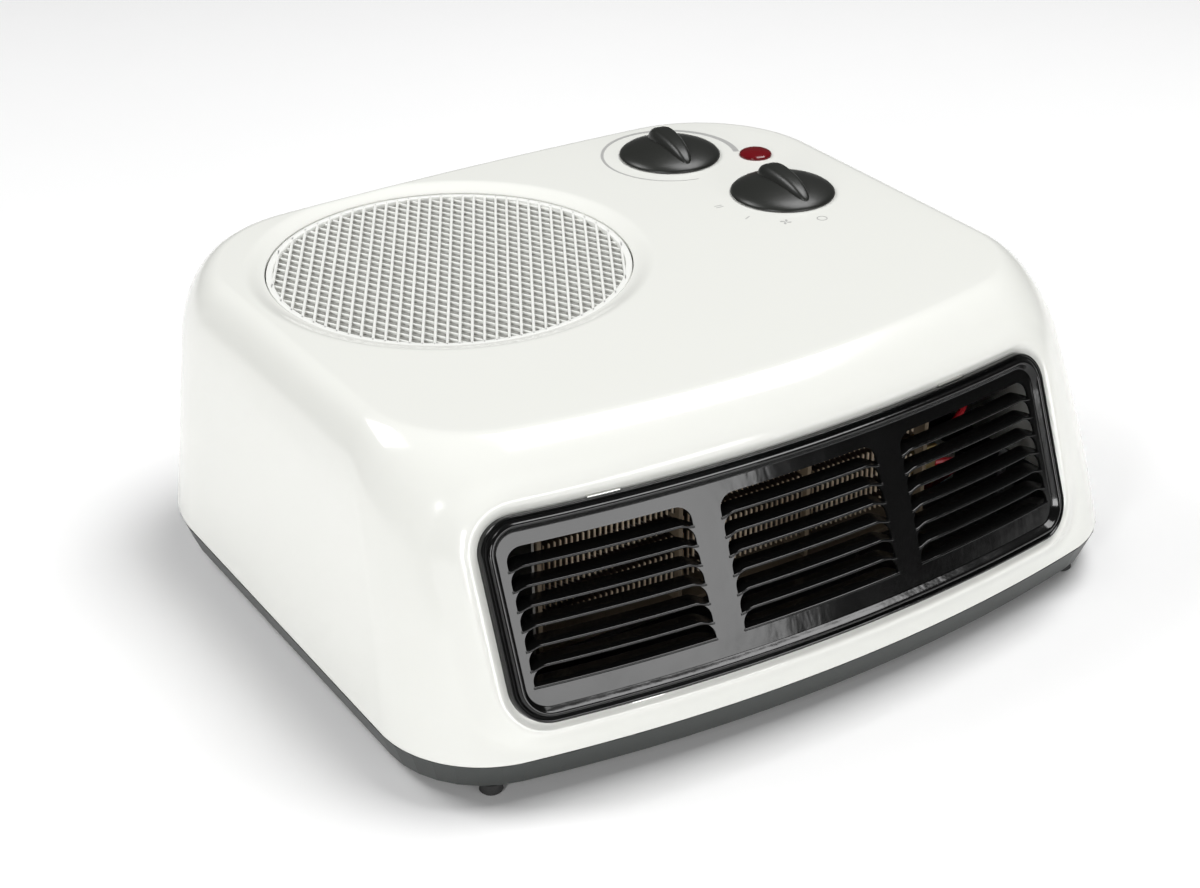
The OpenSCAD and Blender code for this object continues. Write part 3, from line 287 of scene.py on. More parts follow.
def alloy_with_painted_light(name):
    """Heating strip with painted light: forward folds bright, partly the alloy's own colour and partly
    painted highlight, painted shade between and behind them.
    """
    # The bright colour is the alloy's own, raised into a painted highlight; the dark colour is painted
    # shade.
    bright, painted_shade_colour = (0.95, 0.80, 0.62), (0.035, 0.022, 0.014)
    m = material(name, bright, 0.42, metal=0.3)
    nodes, links = m.node_tree.nodes, m.node_tree.links
    shader = nodes["Principled BSDF"]
    parts = nodes.new("ShaderNodeSeparateXYZ")
    links.new(nodes["Texture Coordinate"].outputs["Object"], parts.inputs["Vector"])
    low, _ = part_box("heating_ribbons")
    # Painted shade: the colour darkens with depth behind the strip's front, where the folds fall into
    # shade.
    behind = nodes.new("ShaderNodeMapRange")
    behind.inputs["From Min"].default_value = low.y + FOLD_FRONT * MM
    behind.inputs["From Max"].default_value = low.y + FOLD_BACK * MM
    links.new(parts.outputs["Y"], behind.inputs["Value"])
    shade = nodes.new("ShaderNodeMixRGB")
    shade.inputs["Color1"].default_value = (*bright, 1)
    shade.inputs["Color2"].default_value = (*painted_shade_colour, 1)
    links.new(behind.outputs["Result"], shade.inputs["Fac"])
    links.new(shade.outputs["Color"], shader.inputs["Base Color"])
    return m


SURFACES = {
    "cover_white": dict(
        colour=(0.80, 0.805, 0.765), roughness=0.16, grain=700, bump=0.004, tint=0.006,
        gloss_spread=0.02, coat=0.3,
    ),
    "mesh_white": dict(colour=(0.84, 0.845, 0.815), roughness=0.3, grain=1500, bump=0.01, tint=0.01),
    "base_grey": dict(
        colour=(0.045, 0.049, 0.047), roughness=0.42, grain=2600, bump=0.02, tint=0.06, specular=0.4,
    ),
    "foot_rubber": dict(colour=(0.02, 0.02, 0.02), roughness=0.75, grain=1800, bump=0.05),
    "grille_black": dict(
        colour=(0.004, 0.004, 0.004), roughness=0.14, grain=60, bump=0.35, tint=0.1,
        gloss_spread=0.06, specular=0.42, stretch=(1, 1, 0.3),
    ),
    "zinc_steel": dict(colour=(0.62, 0.64, 0.66), roughness=0.34, metal=1.0, grain=1200, bump=0.01),
    "spring_steel": dict(colour=(0.55, 0.55, 0.53), roughness=0.3, metal=1.0, stretch=(1, 1, 6)),
    "shield_steel": dict(
        colour=(0.30, 0.29, 0.27), roughness=0.5, metal=1.0, stretch=(0.2, 1, 4), tint=0.2,
    ),
    # The mica is darkened: partly its own colour, partly painted shade for the dark inside seen
    # through the grille.
    "mica": dict(
        colour=(0.16, 0.125, 0.085), roughness=0.6, grain=500, bump=0.05, tint=0.3,
        stretch=(1, 1, 0.4), specular=0.3,
    ),
    "terminal_brass": dict(colour=(0.72, 0.56, 0.28), roughness=0.33, metal=1.0),
    "cutout_black": dict(colour=(0.035, 0.028, 0.022), roughness=0.45),
    "fuse_white": dict(colour=(0.75, 0.74, 0.70), roughness=0.25, coat=0.3),
    "scroll_grey": dict(colour=(0.16, 0.165, 0.165), roughness=0.5, grain=2000, bump=0.03),
    "impeller_white": dict(colour=(0.66, 0.66, 0.62), roughness=0.42, grain=1800, bump=0.02),
    "shaft_steel": dict(colour=(0.66, 0.67, 0.68), roughness=0.2, metal=1.0, stretch=(1, 1, 10)),
    "lamination": dict(
        colour=(0.16, 0.16, 0.18), roughness=0.42, metal=0.8, stretch=(0.05, 0.05, 30), bump=0.06,
    ),
    "bobbin_nylon": dict(colour=(0.70, 0.66, 0.50), roughness=0.4),
    "coil_copper": dict(
        colour=(0.55, 0.20, 0.07), roughness=0.28, metal=0.7, stretch=(40, 0.1, 0.1), bump=0.08,
    ),
    "bush_bronze": dict(colour=(0.50, 0.31, 0.13), roughness=0.4, metal=1.0, grain=3000, bump=0.02),
    "knob_charcoal": dict(
        colour=(0.017, 0.018, 0.016), roughness=0.34, grain=1400, bump=0.002, tint=0.05, specular=0.45,
    ),
    "thermostat_ivory": dict(colour=(0.68, 0.63, 0.52), roughness=0.45),
    "bimetal": dict(colour=(0.55, 0.46, 0.30), roughness=0.35, metal=1.0, stretch=(0.2, 6, 1)),
    "switch_black": dict(colour=(0.018, 0.018, 0.02), roughness=0.4),
    "lamp_red": dict(colour=(0.13, 0.004, 0.007), roughness=0.12, bump=0.003, specular=0.45),
    "holder_white": dict(colour=(0.74, 0.74, 0.72), roughness=0.4),
    "neon_glass": dict(colour=(0.9, 0.75, 0.62), roughness=0.06, transmission=0.7, bump=0.002),
    "block_white": dict(colour=(0.76, 0.76, 0.72), roughness=0.42),
    "gland_black": dict(colour=(0.022, 0.022, 0.022), roughness=0.6, grain=1600, bump=0.04),
    "clamp_black": dict(colour=(0.03, 0.03, 0.03), roughness=0.5),
    "wire_red": dict(colour=(0.42, 0.012, 0.02), roughness=0.42, grain=1500, bump=0.02),
    "wire_blue": dict(colour=(0.02, 0.06, 0.30), roughness=0.42, grain=1500, bump=0.02),
}
MATERIALS = {slot: material(slot, **look) for slot, look in SURFACES.items()}
# The filter's grey is kept dark: partly its own colour, partly painted shade in the inlet's openings.
MATERIALS["filter_grey"] = woven("filter_grey", (0.30, 0.30, 0.28), 0.7)
MATERIALS["ribbon_alloy"] = alloy_with_painted_light("ribbon_alloy_painted_light")
INK = material("printed_grey", (0.40, 0.40, 0.39), 0.45, grain=3000, bump=0.002, tint=0.05)

for part in frame["record"]["subparts"]:
    for cad_slot in frame["nodes"][part["node"]].material_slots:
        cad_slot.material = MATERIALS[part["material_slot"]]


# ---- cover -----------------------------------------------------------------------------------
CORNER_STEPS = 56
FRONT_STEPS = 84
REAR_STEPS = 44
SIDE_STEPS = 56


def quarter(a, level, bow, r, bow_steps):
    """Points from the left side round one corner to the middle of the bowed side."""
    bow_r = (a * a + bow * bow) / (2 * bow)
    bow_y = bow_r - level - bow
    cx = r - a
    cy = bow_y - math.sqrt((bow_r - r) ** 2 - cx * cx)
    turn = math.atan2(cy - bow_y, cx) + 2 * math.pi
    points = []
    for i in range(CORNER_STEPS + 1):
        t = math.pi + (turn - math.pi) * i / CORNER_STEPS
        points.append((cx + r * math.cos(t), cy + r * math.sin(t)))
    for i in range(1, bow_steps + 1):
        t = turn + (1.5 * math.pi - turn) * i / bow_steps
        points.append((bow_r * math.cos(t), bow_y + bow_r * math.sin(t)))
    return points


def outline(a, front, rear, front_r, rear_r):
    """Closed outline, anticlockwise from above, with points along the straight sides too."""
    f = quarter(a, front, FRONT_BOW, front_r, FRONT_STEPS)
    b = quarter(a, rear, REAR_BOW, rear_r, REAR_STEPS)
    left_front, left_rear = f[0], (b[0][0], -b[0][1])
    side = [
        tuple(left_rear[k] + (left_front[k] - left_rear[k]) * i / SIDE_STEPS for k in (0, 1))
        for i in range(1, SIDE_STEPS)
    ]
    ring = list(f)
    ring += [(-x, y) for x, y in reversed(f[:-1])]
    ring += [(-x, y) for x, y in reversed(side)]
    ring += [(-x, -y) for x, y in b]
    ring += [(x, -y) for x, y in reversed(b[:-1])]
    ring += side
    return ring


def cover_ring(z, inset):
    """Outline of the cover at a height, moved inward by the inset."""
    t = climb(z)
    ring = outline(
        HALF_W - SIDE_DRAFT * t - inset,
        FRONT_LEVEL - front_inset(z) - inset,
        REAR_LEVEL - REAR_DRAFT * t - inset,
        FRONT_CORNER_R + FRONT_CORNER_GROWTH * t - inset,
        REAR_CORNER_R - inset,
    )
    return [(x, y, z) for x, y in ring]


def bow(x):
    """How far the front lies behind its foremost line, at a distance from the heater's middle."""
    return BOW_R - math.sqrt(BOW_R**2 - x * x)


def grille_local(p):
    """World point to the grille's coordinates: right, behind its bowed face, up its slope."""
    c, s = math.cos(GRILLE_LEAN), math.sin(GRILLE_LEAN)
    y, z = p[1] - GRILLE_Y - bow(p[0]), p[2] - GRILLE_MID_Z
    return p[0] - GRILLE_X, y * c - z * s, y * s + z * c


def grille_world(p):
    """Point in the grille's coordinates back to the world."""
    c, s = math.cos(GRILLE_LEAN), math.sin(GRILLE_LEAN)
    x = p[0] + GRILLE_X
    return x, GRILLE_Y + bow(x) + p[1] * c + p[2] * s, GRILLE_MID_Z - p[1] * s + p[2] * c


def grille_edge(x, z):
    """Signed distance from the grille's outline, and the direction straight away from it."""
    qx = abs(x) - GRILLE_W / 2 + GRILLE_CORNER_R
    qz = abs(z) - GRILLE_L / 2 + GRILLE_CORNER_R
    sx, sz = math.copysign(1, x), math.copysign(1, z)
    if qx > 0 and qz > 0:
        reach = math.hypot(qx, qz)
        return reach - GRILLE_CORNER_R, (sx * qx / reach, sz * qz / reach)
    if qx > qz:
        return qx - GRILLE_CORNER_R, (sx, 0)
    return qz - GRILLE_CORNER_R, (0, sz)


# The cover round the grille, by distance outward from the grille's outline
HOLE_EDGE = -1.8
RECESS_START = 0.2
RECESS_BAND = 3.2
RECESS_DEPTH = 1.9
BLEND_BAND = 11.0
BLEND_RISE = 9
GRILLE_REACH = 25
# The dish round the inlet
DISH_R = MESH_R + 7.2
DISH_HOLE_R = MESH_R + 0.35
DISH_DEPTH = TOP - MESH_HIGH.z - 0.2
DISH_FADE = 12
DISH_WIDTH = 9.0
DISH_SHARE = 0.75
# Rows of points up the wall, over its rounded edge, across the top and down the dish
FIRST_ROWS = ((0, 0.55), (0.12, 0.2), (0.45, 0.0))
WALL_START = 1.2
WALL_STEPS = 70
EDGE_STEPS = 30
TOP_ROWS = 22
DISH_ROWS = 14


def cover_rows():
    """Rows of points up the wall, over the rounded edge and across the top to the inlet."""
    spring = TOP - EDGE_RISE
    rows = [cover_ring(SEAM + rise, inset) for rise, inset in FIRST_ROWS]
    first = SEAM + WALL_START
    for i in range(WALL_STEPS + 1):
        rows.append(cover_ring(first + (spring - first) * i / WALL_STEPS, 0))
    for i in range(1, EDGE_STEPS + 1):
        t = math.pi / 2 * i / EDGE_STEPS
        rows.append(cover_ring(spring + EDGE_RISE * math.sin(t), EDGE_RUN * (1 - math.cos(t))))
    rim = rows[-1]
    steps = DISH_ROWS + TOP_ROWS
    for i in range(1, steps + 1):
        row = []
        for x, y, z in rim:
            dx, dy = x - INLET.x, y - INLET.y
            reach = math.hypot(dx, dy)
            span = reach - DISH_HOLE_R
            dish = min(DISH_WIDTH, DISH_SHARE * span)
            left = steps - i
            if left <= DISH_ROWS:
                r = DISH_HOLE_R + dish * left / DISH_ROWS
            else:
                r = DISH_HOLE_R + dish + (span - dish) * (left - DISH_ROWS) / TOP_ROWS
            row.append((INLET.x + dx / reach * r, INLET.y + dy / reach * r, z))
        rows.append(row)
    return rows


def sink(p):
    """Lowers the dish round the inlet and presses the soft recess round the grille."""
    x, y, z = p
    from_inlet = math.hypot(x - INLET.x, y - INLET.y)
    dish = 1 - smoothstep((from_inlet - DISH_HOLE_R) / (DISH_R - DISH_HOLE_R))
    z -= DISH_DEPTH * dish * smoothstep((z - TOP + DISH_FADE) / DISH_FADE)
    gx, gy, gz = grille_local((x, y, z))
    if y > 0 or abs(gy) > GRILLE_REACH:
        return x, y, z
    away, _ = grille_edge(gx, gz)
    follow = (1 - smoothstep(away / BLEND_BAND)) * smoothstep((z - SEAM) / BLEND_RISE)
    gy += (-FIELD_SET_BACK - gy) * follow
    gy += RECESS_DEPTH * (1 - smoothstep((away - RECESS_START) / RECESS_BAND))
    return grille_world((gx, gy, gz))


def build_cover():
    """The cover with the grille's hole: points on the hole's edge are moved onto its outline."""
    rows = cover_rows()
    columns = len(rows[0])
    flat = [p for row in rows for p in row]
    faces = []
    cut = set()
    for face in grid_faces(len(rows), columns):
        centre = [sum(flat[v][k] for v in face) / 4 for k in range(3)]
        gx, gy, gz = grille_local(centre)
        near = centre[1] < 0 and abs(gy) < GRILLE_REACH
        if near and grille_edge(gx, gz)[0] < HOLE_EDGE:
            cut.update(face)
        else:
            faces.append(face)
    kept = {v for face in faces for v in face}
    for v in cut & kept:
        gx, gy, gz = grille_local(flat[v])
        away, (nx, nz) = grille_edge(gx, gz)
        shift = HOLE_EDGE - away
        flat[v] = grille_world((gx + nx * shift, gy, gz + nz * shift))
    used = sorted(kept)
    index = {v: i for i, v in enumerate(used)}
    points = [sink(flat[v]) for v in used]
    faces = [tuple(index[v] for v in face) for face in faces]
    cover = mesh_piece(
        "cover_shell", points, faces, MATERIALS["cover_white"],
        nodes=("top_cover",), slot="cover_white", sharp=50,
    )
    thicken(cover, COVER_WALL, 50)


build_cover()


# ---- inlet mesh ------------------------------------------------------------------------------
BAR_PITCH = 3.72
BAR_W = 0.92
BAR_ANGLE = 60
MESH_RIM = 2.2


def bar_layer(angle, low, height):
    """Parallel bars with rounded backs, cut to the inlet's circle."""
    profile = [
        (-0.5, 0), (-0.5, 0.5), (-0.38, 0.82), (-0.16, 1),
        (0.16, 1), (0.38, 0.82), (0.5, 0.5), (0.5, 0),
    ]
    reach = MESH_R - MESH_RIM / 2
    count = int((MESH_R - MESH_RIM) / BAR_PITCH)
    c, s = math.cos(math.radians(angle)), math.sin(math.radians(angle))
    points, faces = [], []
    for i in range(-count, count + 1):
        off = i * BAR_PITCH
        half = math.sqrt(reach * reach - off * off)
        start = len(points)
        for end in (-half, half):
            for across, up in profile:
                v = off + across * BAR_W
                x, y = end * c - v * s, end * s + v * c
                points.append((INLET.x + x, INLET.y + y, low + up * height))
        n = len(profile)
        near, far = [start + k for k in range(n)], [start + n + k for k in range(n)]
        faces += [(near[k], near[(k + 1) % n], far[(k + 1) % n], far[k]) for k in range(n)]
        faces += [tuple(reversed(near)), tuple(far)]
    return points, faces


def build_inlet():
    """Two crossing layers of bars in a rim with softened edges."""
    white = MATERIALS["mesh_white"]
    low, top = MESH_LOW.z, MESH_HIGH.z
    half_t = (top - low) / 2
    bars = bar_layer(BAR_ANGLE, low + half_t, half_t)
    upper = mesh_piece("mesh_upper_bars", *bars, white, slot="mesh_white")
    bars = bar_layer(-BAR_ANGLE, low, half_t)
    mesh_piece("mesh_lower_bars", *bars, white, slot="mesh_white")
    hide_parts("inlet_mesh")
    inner, outer = MESH_R - MESH_RIM, MESH_R
    profile = [
        (outer, low), (outer, top - 0.5), (outer - 0.15, top - 0.15), (outer - 0.5, top),
        (inner + 0.5, top), (inner + 0.15, top - 0.15), (inner, top - 0.5), (inner, low), (outer, low),
    ]
    rim = lathe(profile, INLET, 160)
    mesh_piece("mesh_rim", *rim, white, slot="mesh_white", weld=0.001)


build_inlet()


# ---- outlet grille ---------------------------------------------------------------------------
# Across the rim, from its outer edge inward: distance from the outline, depth behind the face
RIM_PROFILE = [
    (0.0, 3.0), (0.0, -0.5), (0.1, -0.95), (0.35, -1.25), (0.7, -1.3), (1.0, -1.1), (1.2, -0.7),
    (1.45, -0.55), (1.7, -0.75), (1.9, -1.3), (2.15, -1.72), (2.5, -1.95), (2.9, -2.0),
    (3.25, -1.85), (3.6, -1.45), (4.1, -0.75), (4.5, -0.2), (4.62, -0.05), (4.8, 0.0), (RIM_W, 0.0),
]


def rounded_loop(inset):
    """Outline of the grille moved inward, always with the same number of points."""
    hx, hz, r = GRILLE_W / 2 - inset, GRILLE_L / 2 - inset, GRILLE_CORNER_R - inset
    corners = [(hx - r, hz - r, 0), (r - hx, hz - r, 90), (r - hx, r - hz, 180), (hx - r, r - hz, 270)]
    arc, straight = 10, (72, 14)
    loop = []
    for k, (cx, cz, turn) in enumerate(corners):
        for i in range(arc + 1):
            t = math.radians(turn + 90 * i / arc)
            loop.append((cx + r * math.cos(t), cz + r * math.sin(t)))
        nx, nz, next_turn = corners[(k + 1) % 4]
        t = math.radians(next_turn)
        last, target = loop[-1], (nx + r * math.cos(t), nz + r * math.sin(t))
        steps = straight[k % 2]
        for i in range(1, steps):
            loop.append(tuple(last[j] + (target[j] - last[j]) * i / steps for j in (0, 1)))
    return loop


def droop(x):
    """How far the lip of a louvre drops towards its ends."""
    return LIP_DROOP * (1 - smoothstep((BANK_W / 2 - abs(x)) / LIP_CURL))


# Index of the point in the middle of an opening's lip
LIP_MIDDLE = 16


def opening(bank, row):
    """Outline of an opening: a lip below that drops at its ends, large rounded corners above."""
    half, height, r = BANK_W / 2, LOUVRE_PITCH - LOUVRE_GAP, LOUVRE_CORNER_R
    low = LOUVRE_LOW + row * LOUVRE_PITCH
    lip = []
    for i in range(2 * LIP_MIDDLE + 1):
        x = half * math.sin(math.pi / 2 * (i - LIP_MIDDLE) / LIP_MIDDLE)
        lip.append((x, -droop(x) if row else 0))
    arc = [math.radians(90 * i / 7) for i in range(8)]
    right = [(half - r + r * math.cos(t), height - 0.9 * r + 0.9 * r * math.sin(t)) for t in arc]
    back = [(half - r - (2 * half - 2 * r) * i / 16, height) for i in range(1, 16)]
    left = [(-x, z) for x, z in reversed(right)]
    return [(bank * BANK_PITCH + x, low + z) for x, z in lip + right + back + left]


def inside(shape, x, z):
    """True if a point lies within a closed outline."""
    odd = False
    for (ax, az), (bx, bz) in zip(shape, shape[1:] + shape[:1]):
        if (az > z) != (bz > z) and x < ax + (bx - ax) * (z - az) / (bz - az):
            odd = not odd
    return odd


def on_field(x, depth, z):
    """World point at a depth behind the grille's bowed face."""
    return grille_world((x, depth, z))


def slat(bank, row):
    """The tongue of one opening, folded inward along its lip; its inner corners are rounded."""
    half = BANK_W / 2 + 0.25
    low = LOUVRE_LOW + row * LOUVRE_PITCH
    steps = 56
    rise, run = math.sin(SLAT_RISE), math.cos(SLAT_RISE)
    points = []
    for i in range(steps + 1):
        x = half * math.sin(math.pi / 2 * (2 * i / steps - 1))
        shrink = max(0.0, LOUVRE_CORNER_R - (half - abs(x)))
        corner = LOUVRE_CORNER_R - math.sqrt(max(0.0, LOUVRE_CORNER_R**2 - shrink**2))
        reach = max(0.9, SLAT_DEPTH - 0.85 * corner)
        drop = droop(x) if row else 0
        section = [
            (reach * run, reach * rise), (0.9 * run, 0.9 * rise), (0.25, 0.1), (-0.05, 0.02),
            (-0.24, -0.16), (-0.3, -0.4), (-0.22, -0.62), (0.0, -SLAT_T), (0.35, -SLAT_T + 0.1),
            (1.2 * run, 1.2 * rise - SLAT_T), (reach * run + 0.1, reach * rise - SLAT_T),
        ]
        for y, z in section:
            points.append(on_field(bank * BANK_PITCH + x, y, low + z - drop))
    n = len(section)
    faces = grid_faces(steps + 1, n)
    faces += [tuple(reversed(range(n))), tuple(steps * n + k for k in range(n))]
    return points, faces


def build_grille():
    """The pressed panel with its rim and openings in one skin, and the slats of each bank."""
    black = MATERIALS["grille_black"]
    loops = [rounded_loop(d) for d, _ in RIM_PROFILE]
    count = len(loops[0])
    points = [on_field(x, y, z) for (d, y), loop in zip(RIM_PROFILE, loops) for x, z in loop]
    faces = grid_faces(len(loops), count)
    plane = list(loops[-1])
    rings = [list(range(count))]
    shapes = []
    for bank in (-1, 0, 1):
        for row in range(LOUVRES):
            shape = opening(bank, row)
            shapes.append(shape)
            rings.append(list(range(len(plane), len(plane) + len(shape))))
            plane += shape
    for strip in (-1.5, -0.5, 0.5, 1.5):
        plane += [(strip * BANK_PITCH, z) for z in range(-22, 23, 4)]
    edges = [(ring[i], ring[(i + 1) % len(ring)]) for ring in rings for i in range(len(ring))]
    spots, _, triangles, *_ = delaunay_2d_cdt([Vector(p) for p in plane], edges, [], 0, 1e-4)
    start = len(points)
    points += [on_field(p[0], 0, p[1]) for p in spots]
    for triangle in triangles:
        cx = sum(spots[v][0] for v in triangle) / 3
        cz = sum(spots[v][1] for v in triangle) / 3
        near = []
        for shape in shapes:
            lip_x, lip_z = shape[LIP_MIDDLE]
            if abs(lip_x - cx) < BANK_W and abs(lip_z - cz) < 2 * LOUVRE_PITCH:
                near.append(shape)
        if grille_edge(cx, cz)[0] < -RIM_W and not any(inside(shape, cx, cz) for shape in near):
            faces.append(tuple(start + v for v in triangle))
    panel = mesh_piece(
        "grille_panel", points, faces, black,
        nodes=("outlet_grille",), slot="grille_black", sharp=35, weld=0.002,
    )
    thicken(panel, SHEET_T, 35)
    for bank, side in ((-1, "left"), (0, "middle"), (1, "right")):
        points, faces = [], []
        for row in range(LOUVRES):
            p, f = slat(bank, row)
            faces += [tuple(v + len(points) for v in face) for face in f]
            points += p
        mesh_piece(f"grille_slats_{side}", points, faces, black, slot="grille_black", sharp=50)


build_grille()


# ---- knobs -----------------------------------------------------------------------------------
THERMOSTAT_POINTER = -99.6
SELECTOR_POINTER = -95.4
KNOB_BASE = KNOB_LOW.z
GRIP_TOP = KNOB_HIGH.z - KNOB_BASE - 1.6
FIN_FOOT = 2.0
FIN_BACK = 4.6 - KNOB_R
FIN_PEAK = -0.22 * KNOB_R
FIN_TIP = KNOB_R - 2.4
FIN_HALF_W = 4.5


def knob(name, centre, pointer, body, node):
    """A low dome with a thin edge, and a rounded fin that runs down to the pointer."""
    r = KNOB_R
    profile = [
        (r - 1.2, 0.0), (r - 0.15, 0.0), (r, 0.15), (r - 0.08, 0.45), (r - 0.5, 0.95), (r - 1.5, 1.65),
        (r - 3.4, 2.5), (r - 6, 3.35), (r - 9, 4.05), (r - 13, 4.6), (0.4, 4.8), (0.02, 4.8),
    ]
    points, faces = lathe([(a, KNOB_BASE + z) for a, z in profile], (0, 0), 112)
    start = len(points)
    along, around = 52, 24
    for i in range(along + 1):
        s = FIN_BACK + (FIN_TIP - FIN_BACK) * (0.5 - 0.5 * math.cos(math.pi * i / along))
        front = max(0.0, (s - FIN_PEAK) / (FIN_TIP - FIN_PEAK))
        rear = max(0.0, (FIN_PEAK - s) / (FIN_PEAK - FIN_BACK))
        rise = max(0.0, 1 - front**2.1) ** 0.62 * max(0.0, 1 - rear**2.3) ** 0.5
        high = (GRIP_TOP - FIN_FOOT) * max(0.02, rise)
        taper = (1 - 0.55 * front**1.6) * max(0.0, 1 - front**8) ** 0.5
        wide = FIN_HALF_W * taper * max(0.0, 1 - rear**2.8) ** 0.5 + 0.12
        for j in range(around + 1):
            t = math.pi * j / around
            c, sn = math.cos(t), math.sin(t)
            across = wide * math.copysign(abs(c) ** 0.5, c) * (1.1 - 0.2 * sn)
            points.append((s, across, KNOB_BASE + FIN_FOOT + high * abs(sn) ** 0.7))
    faces += grid_faces(along + 1, around + 1, closed=False, start=start)
    turn = Matrix.Rotation(math.radians(pointer), 3, "Z")
    placed = [turn @ Vector(p) + Vector((centre.x, centre.y, 0)) for p in points]
    mesh_piece(
        name, placed, faces, MATERIALS["knob_charcoal"],
        body=body, nodes=(node,), slot="knob_charcoal", sharp=58, weld=0.001,
    )


knob("thermostat_dial", DIAL, THERMOSTAT_POINTER, "thermostat_dial", "thermostat_knob")
knob("selector_dial", SWITCH, SELECTOR_POINTER, "selector_dial", "selector_knob")


# ---- printed marks ---------------------------------------------------------------------------
INK_LOW = TOP - 0.01
INK_HIGH = TOP + 0.035
HEAT_RING_R = 24.0
HEAT_RING_START = 9.4
HEAT_RING_END = 295
HEAT_RING_THIN = 0.35
HEAT_RING_GROWTH = 1.75
# The selector's marks: their distance from its middle, and the bearing of each
MODE_R = 25.3
OFF_BEARING = 5.4
FAN_BEARING = 34.3
ONE_BEARING = 64.1
TWO_BEARING = 94.4
OFF_R = 1.65
THIN_LINE = 0.38
STROKE_W = 0.42
STROKE_HALF = 1.4
TWO_SPREAD = 0.65


def stroke(path, widths, closed=False):
    """A flat ribbon of ink along a path on the cover's top."""
    n = len(path)
    points = []
    for i, (x, y) in enumerate(path):
        before = path[(i - 1) % n] if closed or i else path[i]
        after = path[(i + 1) % n] if closed or i < n - 1 else path[i]
        dx, dy = after[0] - before[0], after[1] - before[1]
        size = math.hypot(dx, dy)
        nx, ny = -dy / size * widths[i] / 2, dx / size * widths[i] / 2
        points += [(x + nx, y + ny, INK_LOW), (x + nx, y + ny, INK_HIGH)]
        points += [(x - nx, y - ny, INK_HIGH), (x - nx, y - ny, INK_LOW)]
    rows = n + 1 if closed else n
    faces = [tuple(v % len(points) for v in face) for face in grid_faces(rows, 4)]
    if not closed:
        faces += [(3, 2, 1, 0), tuple(4 * (n - 1) + k for k in range(4))]
    return points, faces


def bearing(centre, degrees, r):
    """Point at a clockwise bearing from the front, seen from above."""
    a = math.radians(-90 - degrees)
    return centre.x + r * math.cos(a), centre.y + r * math.sin(a)


def build_marks():
    """A ring that swells with the heat, and a circle, a fan, one stroke and two for the modes."""
    steps = 120
    path, widths = [], []
    for i in range(steps + 1):
        t = i / steps
        degrees = HEAT_RING_START + (HEAT_RING_END - HEAT_RING_START) * t
        path.append(bearing(DIAL, degrees, HEAT_RING_R))
        widths.append(HEAT_RING_THIN + HEAT_RING_GROWTH * t)
    mesh_piece("mark_heat_ring", *stroke(path, widths), INK)
    off = bearing(SWITCH, OFF_BEARING, MODE_R)
    turns = [a * math.pi / 16 for a in range(32)]
    circle = [(off[0] + OFF_R * math.cos(a), off[1] + OFF_R * math.sin(a)) for a in turns]
    mesh_piece("mark_off", *stroke(circle, [THIN_LINE] * len(circle), closed=True), INK)
    fan = bearing(SWITCH, FAN_BEARING, MODE_R)
    points, faces = [], []
    for k in range(4):
        a = math.radians(90 * k + 20)
        blade = [
            (fan[0] + q * math.cos(a + 0.32 * q), fan[1] + q * math.sin(a + 0.32 * q))
            for q in (0.25, 0.7, 1.1, 1.5, 1.9)
        ]
        p, f = stroke(blade, [0.25, 0.5, 0.75, 0.8, 0.4])
        faces += [tuple(v + len(points) for v in face) for face in f]
        points += p
    mesh_piece("mark_fan", points, faces, INK)
    heats = (("one", ONE_BEARING, (0,)), ("two", TWO_BEARING, (-TWO_SPREAD, TWO_SPREAD)))
    for name, degrees, offsets in heats:
        points, faces = [], []
        middle_point = bearing(SWITCH, degrees, MODE_R)
        out = Vector(middle_point) - Vector((SWITCH.x, SWITCH.y))
        out.normalize()
        side = Vector((-out.y, out.x))
        for offset in offsets:
            centre = Vector(middle_point) + side * offset
            ends = [tuple(centre - out * STROKE_HALF), tuple(centre + out * STROKE_HALF)]
            p, f = stroke(ends, [STROKE_W, STROKE_W])
            faces += [tuple(v + len(points) for v in face) for face in f]
            points += p
        mesh_piece(f"mark_{name}", points, faces, INK)


build_marks()


# ---- stage: floor, light and camera ----------------------------------------------------------
SKY = 1.3
DIM_SKY = 0.2
DIM_TOWARD = (0.80, -0.58, 0.12)
LIGHTS_AIM = (0, -20, 50)
FLOOR_HALF = 3000
# Name, place, width, height and radiance of each softbox
SOFTBOXES = (
    ("overhead", (500, -60, 1250), 900, 700, 7.5),
    ("rear_left", (-750, 650, 1100), 700, 500, 8.5),
    ("left_strip", (-1150, -760, 430), 260, 700, 13.0),
    ("front_card", (230, -1480, 290), 900, 420, 6.2),
)


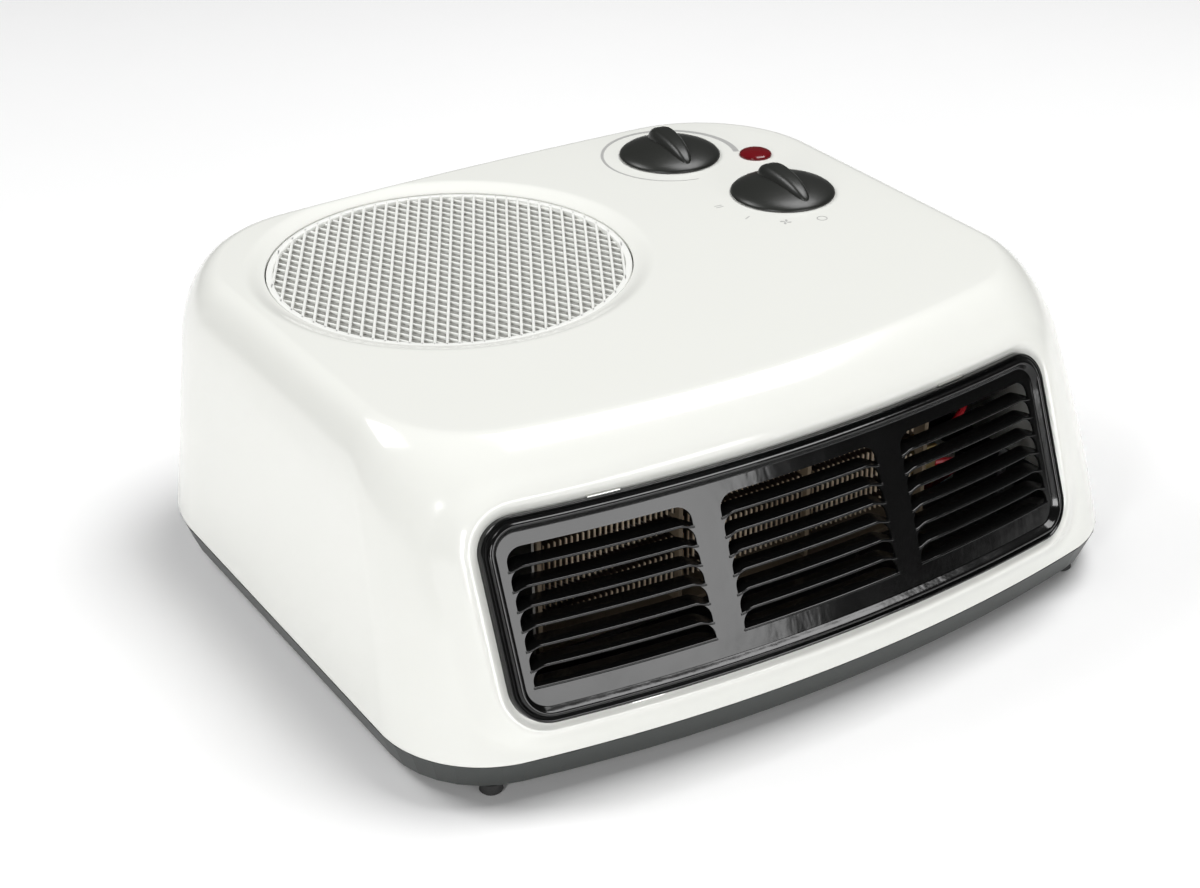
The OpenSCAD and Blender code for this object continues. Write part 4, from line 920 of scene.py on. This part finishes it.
def build_stage():
    """A pale floor, a sky that is darker to the front right, and soft lights."""
    steps = 24
    along = [-FLOOR_HALF + 2 * FLOOR_HALF * i / steps for i in range(steps + 1)]
    points = [(x, y, 0) for x in along for y in along]
    paper = material("floor_paper", (0.93, 0.93, 0.93), 0.85, grain=60, bump=0.01, tint=0.005)
    faces = grid_faces(steps + 1, steps + 1, closed=False)
    floor = mesh_piece("floor", points, faces, paper, body=None)

    world = bpy.data.worlds.new("studio")
    world.use_nodes = True
    nodes, links = world.node_tree.nodes, world.node_tree.links
    sky = nodes["Background"]
    where = nodes.new("ShaderNodeTexCoord")
    toward = nodes.new("ShaderNodeVectorMath")
    toward.operation = "DOT_PRODUCT"
    toward.inputs[1].default_value = Vector(DIM_TOWARD).normalized()
    links.new(where.outputs["Generated"], toward.inputs[0])
    shade = nodes.new("ShaderNodeMapRange")
    shade.inputs["From Min"].default_value = 0.55
    shade.inputs["From Max"].default_value = 0.92
    shade.inputs["To Min"].default_value = SKY
    shade.inputs["To Max"].default_value = SKY * DIM_SKY
    links.new(toward.outputs["Value"], shade.inputs["Value"])
    links.new(shade.outputs["Result"], sky.inputs["Strength"])
    bpy.context.scene.world = world

    aim = Vector(LIGHTS_AIM) * MM
    for name, place, width, height, radiance in SOFTBOXES:
        light = bpy.data.lights.new(name, "AREA")
        light.shape = "RECTANGLE"
        light.size = width * MM
        light.size_y = height * MM
        light.energy = radiance * math.pi * light.size * light.size_y
        lamp = bpy.data.objects.new(name, light)
        lamp.location = Vector(place) * MM
        lamp.rotation_euler = (aim - lamp.location).to_track_quat("-Z", "Y").to_euler()
        bpy.context.scene.collection.objects.link(lamp)


CAMERA_PLACE = (-352.9, -539.6, 392.8)
CAMERA_TURN = math.radians(-32.376)
CAMERA_UP = math.radians(28.997)
CAMERA_ROLL = math.radians(-0.456)
CAMERA_LENS = 66.78
SENSOR_W = 36


def build_camera():
    """The camera stands in front, to the left and above, and looks at the middle of the heater."""
    turn, up, roll = CAMERA_TURN, CAMERA_UP, CAMERA_ROLL
    place = Vector(CAMERA_PLACE) * MM
    back = Vector((math.sin(turn) * math.cos(up), -math.cos(turn) * math.cos(up), math.sin(up)))
    right = Vector((math.cos(turn), math.sin(turn), 0))
    above = right.cross(-back)
    x = right * math.cos(roll) + above * math.sin(roll)
    y = above * math.cos(roll) - right * math.sin(roll)
    data = bpy.data.cameras.new("camera")
    data.lens = CAMERA_LENS
    data.sensor_width = SENSOR_W
    camera = bpy.data.objects.new("camera", data)
    camera.matrix_world = Matrix(
        [(x[i], y[i], back[i], place[i]) for i in range(3)] + [(0, 0, 0, 1)]
    )
    bpy.context.scene.collection.objects.link(camera)
    bpy.context.scene.camera = camera


build_stage()
build_camera()
bpy.context.scene.view_settings.view_transform = "Standard"
